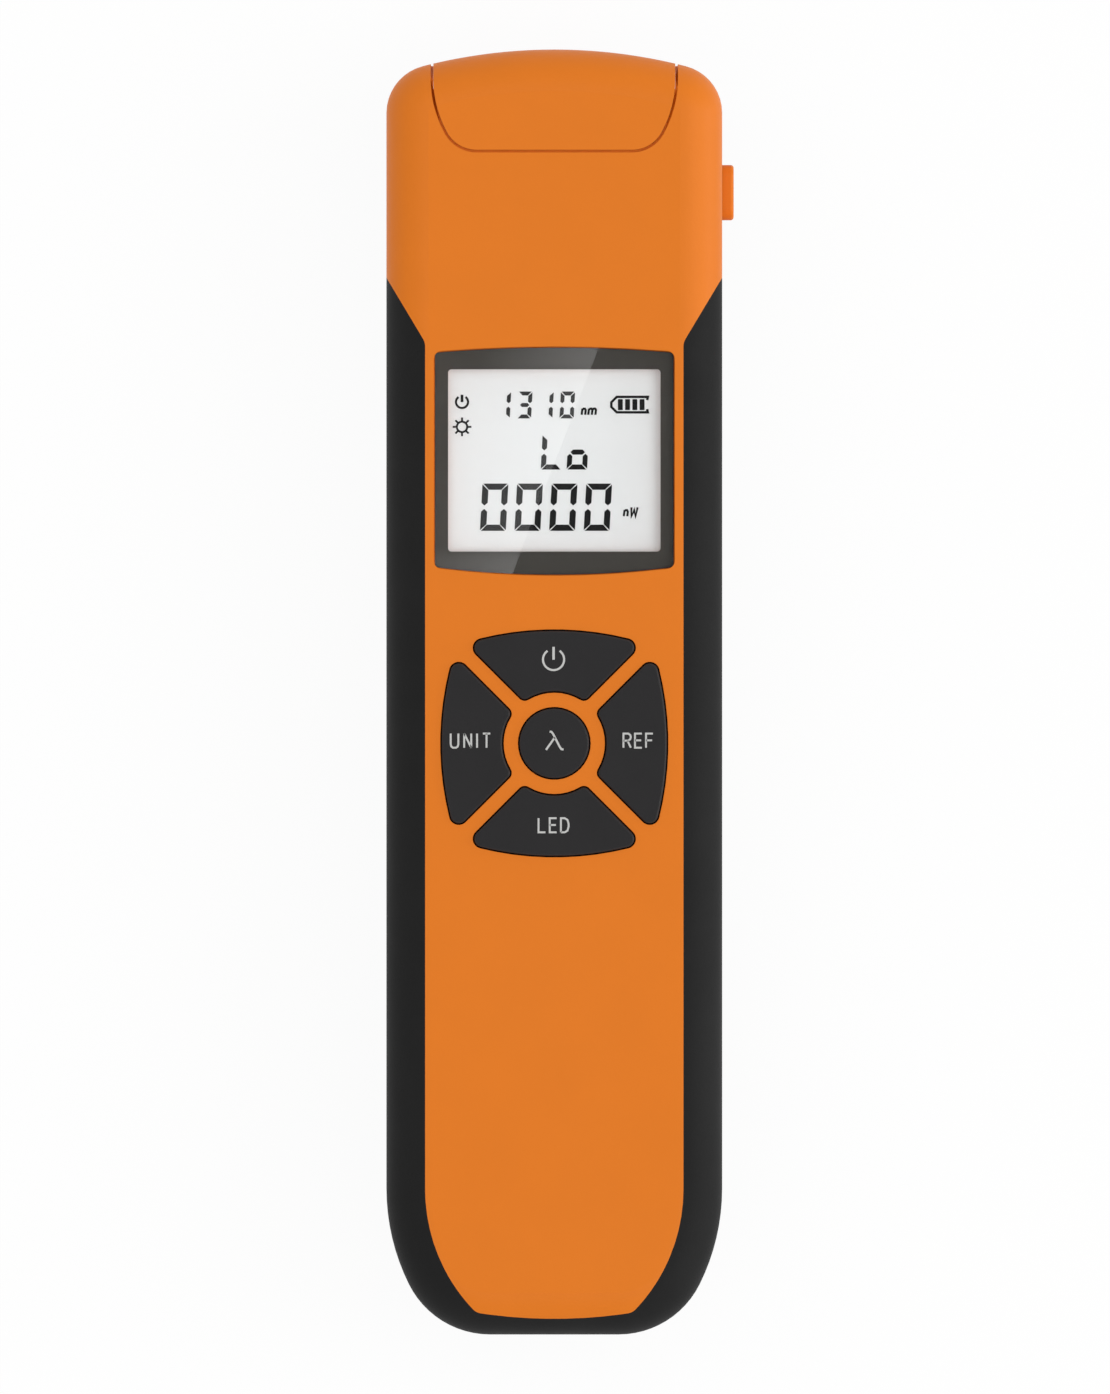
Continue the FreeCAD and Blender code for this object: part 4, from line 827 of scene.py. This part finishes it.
class METER_OT_display(bpy.types.Operator):
    """Lens, its printed border, the liquid-crystal cell with its digits and signs, the backlight"""

    bl_idname = "meter.display"
    bl_label = "Display"

    def execute(self, context):
        colours, sizes = context.scene.meter_colours, context.scene.meter_display
        finish_nodes(lens_glass(), "display_lens")
        finish_nodes(display_ground(colours.ground), "lcd_cell")
        guide = moulded_plastic("backlight guide", tint(236, 238, 232), rough=0.35, grain=0.3, depth=0.005)
        finish_nodes(guide, "backlight")
        border = moulded_plastic("lens print", colours.border, rough=0.5, grain=0.15, depth=0.001,
                                 specular=0.1, mottle=0.02)
        centre = middle(CELL_LOW, CELL_HIGH)
        print_low = LENS_LOW.z + sizes.film
        window = rounded_box(centre, sizes.window_width, sizes.window_height, sizes.window_corner)
        drawn("lens_print", border, "meter",
              lambda shape: self.border(shape, window, print_low, sizes))
        ink = moulded_plastic("segment ink", colours.segment, rough=0.4, grain=0.1, depth=0.001, specular=0.2)
        low = CELL_HIGH.z + sizes.film / 3
        self.reading(centre, sizes, low, ink)
        self.signs(centre, sizes, low, ink, context.scene.meter_fittings)
        drawn("display_text", ink, "meter", lambda shape: self.text(shape, centre, sizes, low))
        return {"FINISHED"}

    def border(self, shape, window, low, sizes):
        """Frame between the lens's edge and the clear window."""
        rims = []
        for line in (lens_outline(sizes.print_margin), window):
            for z in (low, low + sizes.film):
                verts = row(shape, line, z)
                edges = [shape.edges.new(ends) for ends in zip(verts, verts[1:] + verts[:1])]
                rims.append((verts, edges))
        outer_low, outer_high, inner_low, inner_high = rims
        for under, over in ((outer_low, outer_high), (inner_low, inner_high)):
            bridge(shape, under[0], over[0])
        for outer, inner in ((outer_low, inner_low), (outer_high, inner_high)):
            bmesh.ops.triangle_fill(shape, use_beauty=True, edges=outer[1] + inner[1])

    def reading(self, centre, sizes, low, ink):
        """The four large digits, one digit repeated along its line."""
        digit = mesh_from("reading_digit", lambda shape: draw_digit(
            shape, "0", (0.0, 0.0), sizes.reading_width, sizes.reading_height, sizes.reading_stroke, sizes,
            low))
        repeated_piece("display_reading", digit, ink, "lcd", Count=4,
                       Start=(centre.x + sizes.reading_left, centre.y + sizes.reading_foot, 0.0),
                       Step=(sizes.reading_pitch, 0.0, 0.0))

    def signs(self, centre, sizes, low, ink, fittings):
        """Power, backlight and battery signs; the rays and the bars are repeats."""
        high = low + sizes.film
        across = centre.x + sizes.sign_column
        up, down = centre.y + sizes.power_line, centre.y + sizes.sun_line
        ray = mesh_from("ray", lambda shape: ribbon(
            shape, [(0.0, sizes.ray_foot), (0.0, sizes.ray_tip)], sizes.ray_stroke, low, high))
        repeated_piece("display_sun_rays", ray, ink, "lcd", Count=fittings.sun_rays,
                       Start=(across, down, 0.0), Step=(0.0, 0.0, 0.0),
                       Turn=(0.0, 0.0, 2 * math.pi / fittings.sun_rays))
        x, y = centre.x + sizes.battery_left, centre.y + sizes.battery_line
        outline = rounded_box((0.0, 0.0), sizes.bar_width, sizes.bar_height, sizes.bar_corner)
        bar = mesh_from("bar", lambda shape: slab(shape, outline, low, high))
        repeated_piece("display_battery_bars", bar, ink, "lcd", Count=fittings.battery_bars,
                       Start=(centre.x + sizes.bar_left + sizes.bar_width / 2, y, 0.0),
                       Step=(sizes.bar_pitch, 0.0, 0.0))

        def outlines(shape):
            draw_power_sign(shape, (across, up), sizes.power_radius, sizes.power_stroke, low, high)
            ribbon(shape, arc_points((across, down), sizes.sun_radius, 0, 345, 23), sizes.sun_stroke,
                   low, high, closed=True)
            end, tall = x + sizes.battery_run, sizes.battery_half
            lip, inner = end - sizes.battery_lean, tall - sizes.battery_return
            case = [(lip, y + inner), (end, y + tall), (x + sizes.battery_nose, y + tall),
                    (x, y + sizes.battery_tip), (x, y - sizes.battery_tip),
                    (x + sizes.battery_nose, y - tall), (end, y - tall), (lip, y - inner)]
            ribbon(shape, case, sizes.battery_stroke, low, high)

        drawn("display_signs", ink, "meter", outlines)

    def text(self, shape, centre, sizes, low):
        """Wavelength, level word and units."""
        rows = (("1310", sizes.wave_left, sizes.wave_foot, sizes.wave_pitch,
                 sizes.wave_width, sizes.wave_height, sizes.wave_stroke),
                ("Lo", sizes.word_left, sizes.word_foot, sizes.word_pitch,
                 sizes.word_width, sizes.word_height, sizes.word_stroke))
        for signs, left, foot, pitch, width, height, stroke in rows:
            for index, sign in enumerate(signs):
                draw_digit(shape, sign, (centre.x + left + index * pitch, centre.y + foot), width, height,
                           stroke, sizes, low)
        for word, x, y in (("nm", 3.48, 5.91), ("nW", 9.06, -7.53)):
            draw_word(shape, word, (centre.x + x * MM, centre.y + y * MM), sizes.unit_height,
                      sizes.unit_stroke, sizes.unit_gap, low, low + sizes.film, slant=0.12)


class METER_OT_keys(bpy.types.Operator):
    """Key caps and the print on them"""

    bl_idname = "meter.keys"
    bl_label = "Keys"

    def execute(self, context):
        colours, sizes = context.scene.meter_colours, context.scene.meter_legends
        cap = moulded_plastic("key cap", colours.keys, rough=0.5, grain=0.2, depth=0.01, specular=0.25,
                              mottle=0.05)
        finish_nodes(cap, "power_key", "unit_key", "led_key", "reference_key", "wavelength_key")
        ink = moulded_plastic("legend ink", colours.legend, rough=0.5, grain=0.1, depth=0.002)
        middle_key = middle(CENTRE_KEY_LOW, CENTRE_KEY_HIGH)
        low, high = CENTRE_KEY_HIGH.z - sizes.film, CENTRE_KEY_HIGH.z + sizes.film
        top = (middle_key.x + sizes.spine, middle_key.y + sizes.reach)
        drawn("power_legend", ink, "power_key_body", lambda shape: draw_power_sign(
            shape, top, sizes.symbol_radius, sizes.symbol_stroke, low, high))
        for word, body, x, y, space in (
                ("UNIT", "unit_key_body", -sizes.reach, sizes.rise, sizes.unit_space),
                ("REF", "reference_key_body", sizes.reach, sizes.rise, sizes.ref_space),
                ("LED", "led_key_body", sizes.spine, sizes.led_rise - sizes.reach, sizes.led_space)):
            width = word_width(word, sizes.letter_height, sizes.letter_stroke, space)
            place = (middle_key.x + x - width / 2, middle_key.y + y - sizes.letter_height / 2)
            drawn(word.lower() + "_legend", ink, body, lambda shape: draw_word(
                shape, word, place, sizes.letter_height, sizes.letter_stroke, space, low, high))
        drawn("lambda_legend", ink, "wavelength_key_body",
              lambda shape: self.wave_sign(shape, middle_key, sizes, low, high))
        return {"FINISHED"}

    def wave_sign(self, shape, centre, sizes, low, high):
        """Greek letter for wavelength."""
        x, y, stroke = centre.x, centre.y + sizes.rise, sizes.symbol_stroke
        long_leg = [(-0.62, 1.2), (-0.38, 1.17), (-0.16, 0.88), (0.72, -0.82), (0.92, -1.12), (1.22, -1.18)]
        short_leg = [(0.06, 0.42), (-1.1, -1.22)]
        for leg in (long_leg, short_leg):
            ribbon(shape, [(x + a * MM, y + b * MM) for a, b in leg], stroke, low, high)


def lined_metal(name, base, ceramic, axes, rough=0.22):
    """Plated metal whose bores round the two given axes hold a white ceramic sleeve."""
    made = turned_metal(name, base, rough)
    tree, shader, where, plain = finished_base(made)
    flat = vectors(tree, "MULTIPLY", where, (1.0, 0.0, 1.0))
    one, other = (vectors(tree, "DISTANCE", flat, (axis.x, 0.0, axis.z)) for axis in axes)
    sleeve = near_mask(tree, maths(tree, "MINIMUM", one, other), *SLEEVE_EDGE)
    feed(tree, shader, {"Base Color": blend_colours(tree, sleeve, plain, ceramic),
                        "Metallic": maths(tree, "SUBTRACT", 1.0, sleeve)})
    return made


class METER_OT_ports(bpy.types.Operator):
    """Optical ports, torch lamp and what stands behind the deck"""

    bl_idname = "meter.ports"
    bl_label = "Ports"

    def execute(self, context):
        colours, sizes = context.scene.meter_colours, context.scene.meter_fittings
        adapter, locator = middle(ADAPTER_LOW, ADAPTER_HIGH), middle(LOCATOR_LOW, LOCATOR_HIGH)
        nickel = lined_metal("nickel port", colours.metal, colours.ceramic, (adapter, locator))
        finish_nodes(nickel, "detector_adapter", "fault_locator_port")
        finish_nodes(turned_metal("barrel", colours.metal, 0.3), "detector_barrel")
        finish_nodes(turned_metal("laser can", colours.brass, 0.3), "laser_module")
        finish_nodes(self.sensor_can(colours.steel), "photodiode")
        finish_nodes(turned_metal("hinge pin", colours.steel, 0.25), "hinge_pin")
        finish_nodes(self.clear_lamp(), "torch_lamp")
        self.knurl(adapter, nickel, sizes)
        return {"FINISHED"}

    def sensor_can(self, steel):
        """Metal can with a dark window in its end."""
        made = turned_metal("sensor can", steel, 0.28)
        tree, shader, where, plain = finished_base(made)
        axis = middle(DIODE_LOW, DIODE_HIGH)
        apart = vectors(tree, "DISTANCE", where, (axis.x, DIODE_HIGH.y, axis.z))
        window = near_mask(tree, apart, *WINDOW_EDGE)
        feed(tree, shader, {"Base Color": blend_colours(tree, window, plain, tint(20, 16, 34))})
        return made

    def clear_lamp(self):
        """Water-clear lamp with a faint warm body."""
        made, tree, shader, where = new_material("clear lamp")
        haze = noise(tree, where, 900.0, 2.0)
        tone = blend_colours(tree, haze, tint(246, 247, 240), tint(255, 255, 252))
        feed(tree, shader, {"Base Color": tone, "Roughness": maths(tree, "MULTIPLY", haze, 0.08),
                            "Transmission Weight": 0.85, "IOR": 1.5})
        return made

    def knurl(self, centre, material, sizes):
        """Straight knurl round the adapter's thick end."""
        radius = (ADAPTER_HIGH.x - ADAPTER_LOW.x) / 2
        low, high = ADAPTER_LOW.y + sizes.knurl_start, ADAPTER_LOW.y + sizes.knurl_end
        foot, top = sizes.knurl_width / 2, sizes.knurl_width / 5
        slope = sizes.knurl_height

        def rib(shape):
            section = [(-foot, radius - slope), (foot, radius - slope), (top, radius + slope),
                       (-top, radius + slope)]
            hollow = radius - slope / 4
            ends = []
            for y, pull in ((low - centre.y, 0.0), (low - centre.y + slope, 1.0),
                            (high - centre.y - slope, 1.0), (high - centre.y, 0.0)):
                ends.append([shape.verts.new((x, y, z if z < radius else hollow + (z - hollow) * pull))
                             for x, z in section])
            for here, there in zip(ends, ends[1:]):
                bridge(shape, here, there)
            shape.faces.new(ends[0])
            shape.faces.new(list(reversed(ends[-1])))

        repeated_piece("adapter_knurl", mesh_from("knurl_rib", rib), material, "nickel",
                       Count=sizes.knurl_count, Start=tuple(centre), Step=(0.0, 0.0, 0.0),
                       Turn=(0.0, 2 * math.pi / sizes.knurl_count, 0.0))


class METER_OT_board(bpy.types.Operator):
    """Circuit board, snap domes, side switch and screws"""

    bl_idname = "meter.board"
    bl_label = "Board and screws"

    def execute(self, context):
        colours = context.scene.meter_colours
        switch = moulded_plastic("switch body", tint(24, 24, 26), rough=0.45, grain=0.3, depth=0.01)
        finish_nodes(self.solder_mask(colours.mask, colours.brass), "main_board")
        finish_nodes(turned_metal("snap dome", colours.steel, 0.18, pitch=0.3), "key_domes")
        finish_nodes(switch, "side_switch")
        screws = turned_metal("screw steel", colours.steel, 0.3, pitch=0.2)
        finish_nodes(screws, "case_screws", "board_screws")
        return {"FINISHED"}

    def solder_mask(self, mask, copper):
        """Green mask over tracks, with bare pads on a grid."""
        made, tree, shader, where = new_material("solder mask")
        tracks = add(tree, "ShaderNodeTexBrick", {"Vector": where, "Scale": 160.0, "Mortar Size": 0.012,
                                                  "Color1": mask, "Color2": shaded(mask, 0.9),
                                                  "Mortar": shaded(mask, 1.7)})
        pads = add(tree, "ShaderNodeTexVoronoi", {"Vector": where, "Scale": 320.0, "Randomness": 0.35})
        bare = near_mask(tree, pads.outputs["Distance"], 0.13, 0.16)
        feed(tree, shader, {"Base Color": blend_colours(tree, bare, tracks.outputs["Color"], copper),
                            "Metallic": bare, "Roughness": 0.3,
                            "Normal": bump(tree, tracks.outputs["Fac"], 0.03)})
        return made


class METER_OT_cells(bpy.types.Operator):
    """Cells and their contacts"""

    bl_idname = "meter.cells"
    bl_label = "Cells"

    def execute(self, context):
        colours = context.scene.meter_colours
        upward = self.jacket("cell jacket up", colours, BAY_CELL_LOW.y, BAY_CELL_HIGH.y, 1)
        downward = self.jacket("cell jacket down", colours, MIDDLE_CELL_LOW.y, MIDDLE_CELL_HIGH.y, -1)
        finish_nodes(upward, "aaa_cell_1", "aaa_cell_3")
        finish_nodes(downward, "aaa_cell_2")
        finish_nodes(turned_metal("contact plate", colours.brass, 0.3, pitch=0.5), "contact_plates")
        finish_nodes(turned_metal("contact spring", colours.steel, 0.25, pitch=0.4), "contact_springs")
        return {"FINISHED"}

    def jacket(self, name, colours, low, high, way):
        """Printed sleeve with a band at the positive end and bare metal at both tips."""
        made, tree, shader, where = new_material(name)
        height = add(tree, "ShaderNodeSeparateXYZ", {0: where}).outputs["Y"]
        plus, minus = (high, low) if way > 0 else (low, high)
        from_plus = maths(tree, "MULTIPLY", maths(tree, "SUBTRACT", plus, height), float(way))
        from_minus = maths(tree, "MULTIPLY", maths(tree, "SUBTRACT", height, minus), float(way))
        band = near_mask(tree, from_plus, *BAND_EDGE)
        tip = near_mask(tree, from_plus, *TIP_EDGE)
        base = near_mask(tree, from_minus, *BASE_EDGE)
        bare = maths(tree, "MAXIMUM", tip, base)
        printed = blend_colours(tree, band, colours.jacket, colours.jacket_band)
        marks = place_group(tree, handling_marks, Vector=where, Size=5.0)
        gloss = maths(tree, "ADD", 0.24, maths(tree, "MULTIPLY", marks.outputs["Smear"], 0.15))
        feed(tree, shader, {"Base Color": blend_colours(tree, bare, printed, colours.steel),
                            "Metallic": bare, "Roughness": gloss})
        return made


class METER_OT_stage(bpy.types.Operator):
    """Pale floor, soft lamps, reflection card and camera"""

    bl_idname = "meter.stage"
    bl_label = "Studio"

    def execute(self, context):
        scene, sizes = context.scene, context.scene.meter_studio
        scene.view_settings.view_transform = "Standard"
        self.world(scene, sizes)
        self.floor(scene, sizes)
        for name, place, size, setting, glossy in LAMPS:
            self.lamp(name, place, size, getattr(sizes, setting), glossy)
        self.sheen_card(sizes)
        self.dark_card(sizes)
        camera = bpy.data.cameras.new("camera")
        camera.sensor_width = 36.0
        camera.lens = camera.sensor_width * sizes.camera_distance / sizes.framed_length
        camera.clip_end = 4 * sizes.camera_distance
        holder = new_object("camera", camera)
        holder.location = (sizes.aim_x, sizes.aim_y, BODY_LOW.z + sizes.camera_distance)
        scene.camera = holder
        return {"FINISHED"}

    def world(self, scene, sizes):
        """Even sky light; camera, glossy and transmitted rays see plain white."""
        scene.world = scene.world or bpy.data.worlds.new("studio")
        tree = emptied(scene.world)
        light = add(tree, "ShaderNodeBackground", {"Color": WHITE, "Strength": sizes.world_light})
        white = add(tree, "ShaderNodeBackground", {"Color": WHITE, "Strength": 1.0})
        first = maths(tree, "LESS_THAN", add(tree, "ShaderNodeLightPath").outputs["Diffuse Depth"], 0.5)
        share = maths(tree, "MULTIPLY", self.seen(tree), first)
        add(tree, "ShaderNodeOutputWorld", {"Surface": mix_shaders(tree, share, light, white).outputs[0]})

    def seen(self, tree):
        """1 for camera, glossy and transmission rays."""
        path = add(tree, "ShaderNodeLightPath")
        eye = maths(tree, "MAXIMUM", path.outputs["Is Camera Ray"], path.outputs["Is Glossy Ray"])
        return maths(tree, "MAXIMUM", eye, path.outputs["Is Transmission Ray"])

    def floor(self, scene, sizes):
        """White floor that keeps a soft shadow and is clear from below."""
        made = bpy.data.materials.new("floor")
        tree = emptied(made)
        where = add(tree, "ShaderNodeTexCoord").outputs["Object"]
        base = scene.meter_colours.floor
        tone = blend_colours(tree, noise(tree, where, 6.0, 3.0), shaded(base, 0.985), base)
        matt = add(tree, "ShaderNodeBsdfDiffuse", {"Color": tone})
        glow = add(tree, "ShaderNodeEmission", {"Color": WHITE, "Strength": 1.0})
        top = mix_shaders(tree, maths(tree, "MULTIPLY", self.seen(tree), 0.93), matt, glow)
        clear = add(tree, "ShaderNodeBsdfTransparent")
        facing = add(tree, "ShaderNodeNewGeometry").outputs["Backfacing"]
        add(tree, "ShaderNodeOutputMaterial", {"Surface": mix_shaders(tree, facing, top, clear).outputs[0]})
        holder = sheet("floor", square(sizes.floor_size / 2), 0.0, made)
        holder.location.z = -sizes.floor_drop

    def lamp(self, name, place, size, watts, glossy):
        """Soft square lamp aimed at the meter."""
        data = bpy.data.lights.new(name, "AREA")
        data.shape = "SQUARE"
        data.size = size
        data.energy = watts
        holder = new_object(name, data)
        holder.location = place
        holder.rotation_mode = "QUATERNION"
        holder.rotation_quaternion = (-Vector(place)).to_track_quat("-Z", "Y")
        holder.visible_glossy = glossy

    def card(self, name, corners, height, level):
        """Flat card over the meter that only its reflections show; level gives its light from a tree."""
        made = bpy.data.materials.new(name)
        tree = emptied(made)
        glow = add(tree, "ShaderNodeEmission", {"Color": WHITE, "Strength": level(tree)})
        clear = add(tree, "ShaderNodeBsdfTransparent")
        depth = add(tree, "ShaderNodeLightPath").outputs["Diffuse Depth"]
        both = mix_shaders(tree, maths(tree, "GREATER_THAN", depth, 0.5), glow, clear)
        add(tree, "ShaderNodeOutputMaterial", {"Surface": both.outputs[0]})
        holder = sheet(name, corners, height, made, upward=False)
        holder.visible_camera = False
        holder.visible_diffuse = False
        holder.visible_shadow = False

    def sheen_card(self, sizes):
        """Bright card whose slanting edge shows as the diagonal sheen in the lens."""
        reach = 1 + CARD_HEIGHT / sizes.camera_distance
        top_edge, low_edge = sizes.sheen_top * reach, sizes.sheen_foot * reach
        left, low, high = (LENS_LOW.x - sizes.sheen_spare) * reach, LENS_LOW.y * reach, LENS_HIGH.y * reach
        slope = (top_edge - low_edge) / (high - low)

        def level(tree):
            """Grows from the card's left end to its slanting edge, and is brighter past the lens window."""
            split = add(tree, "ShaderNodeSeparateXYZ", {0: add(tree, "ShaderNodeTexCoord").outputs["Object"]})
            rise = maths(tree, "MULTIPLY", maths(tree, "SUBTRACT", split.outputs["Y"], low), slope)
            along = maths(tree, "SUBTRACT", split.outputs["X"], rise)
            ramp = step_mask(tree, along, left, low_edge)
            from_middle = maths(tree, "SUBTRACT", split.outputs["Y"], (low + high) / 2)
            ends = step_mask(tree, maths(tree, "ABSOLUTE", from_middle), sizes.sheen_start * reach,
                             sizes.sheen_full * reach)
            gain = maths(tree, "ADD", sizes.sheen_gain, maths(tree, "MULTIPLY", ends, sizes.sheen_ends))
            return maths(tree, "ADD", sizes.sheen_least, maths(tree, "MULTIPLY", ramp, gain))

        corners = [(left, low), (low_edge, low), (top_edge, high), (left, high)]
        self.card("sheen_card", corners, LENS_HIGH.z + CARD_HEIGHT, level)

    def dark_card(self, sizes):
        """Dim card above the bright one, so that the lens mirrors a dark room."""
        self.card("dark_card", square(sizes.card_half), LENS_HIGH.z + CARD_HEIGHT * 1.05,
                  lambda tree: sizes.dark_light)


OPERATORS = (METER_OT_housing, METER_OT_display, METER_OT_keys, METER_OT_ports, METER_OT_board,
             METER_OT_cells, METER_OT_stage)


class METER_PT_panel(bpy.types.Panel):
    """Lists the meter's pieces and the sizes and colours behind them"""

    bl_idname = "METER_PT_panel"
    bl_label = "Power meter"
    bl_space_type = "VIEW_3D"
    bl_region_type = "UI"
    bl_category = "Power meter"

    def draw(self, context):
        for operator in OPERATORS:
            self.layout.operator(operator.bl_idname)
        for name, group in GROUPS.items():
            box = self.layout.box()
            box.label(text=group.__doc__)
            for field in group.__annotations__:
                box.prop(getattr(context.scene, name), field)


def register():
    for group in GROUPS.values():
        bpy.utils.register_class(group)
    for name, group in GROUPS.items():
        setattr(bpy.types.Scene, name, PointerProperty(type=group))
    for operator in OPERATORS:
        bpy.utils.register_class(operator)
    bpy.utils.register_class(METER_PT_panel)


def unregister():
    bpy.utils.unregister_class(METER_PT_panel)
    for operator in reversed(OPERATORS):
        bpy.utils.unregister_class(operator)
    for name, group in GROUPS.items():
        delattr(bpy.types.Scene, name)
        bpy.utils.unregister_class(group)


def main():
    register()
    bpy.ops.meter.housing()
    bpy.ops.meter.display()
    bpy.ops.meter.keys()
    bpy.ops.meter.ports()
    bpy.ops.meter.board()
    bpy.ops.meter.cells()
    bpy.ops.meter.stage()


if __name__ == "__main__":
    main()
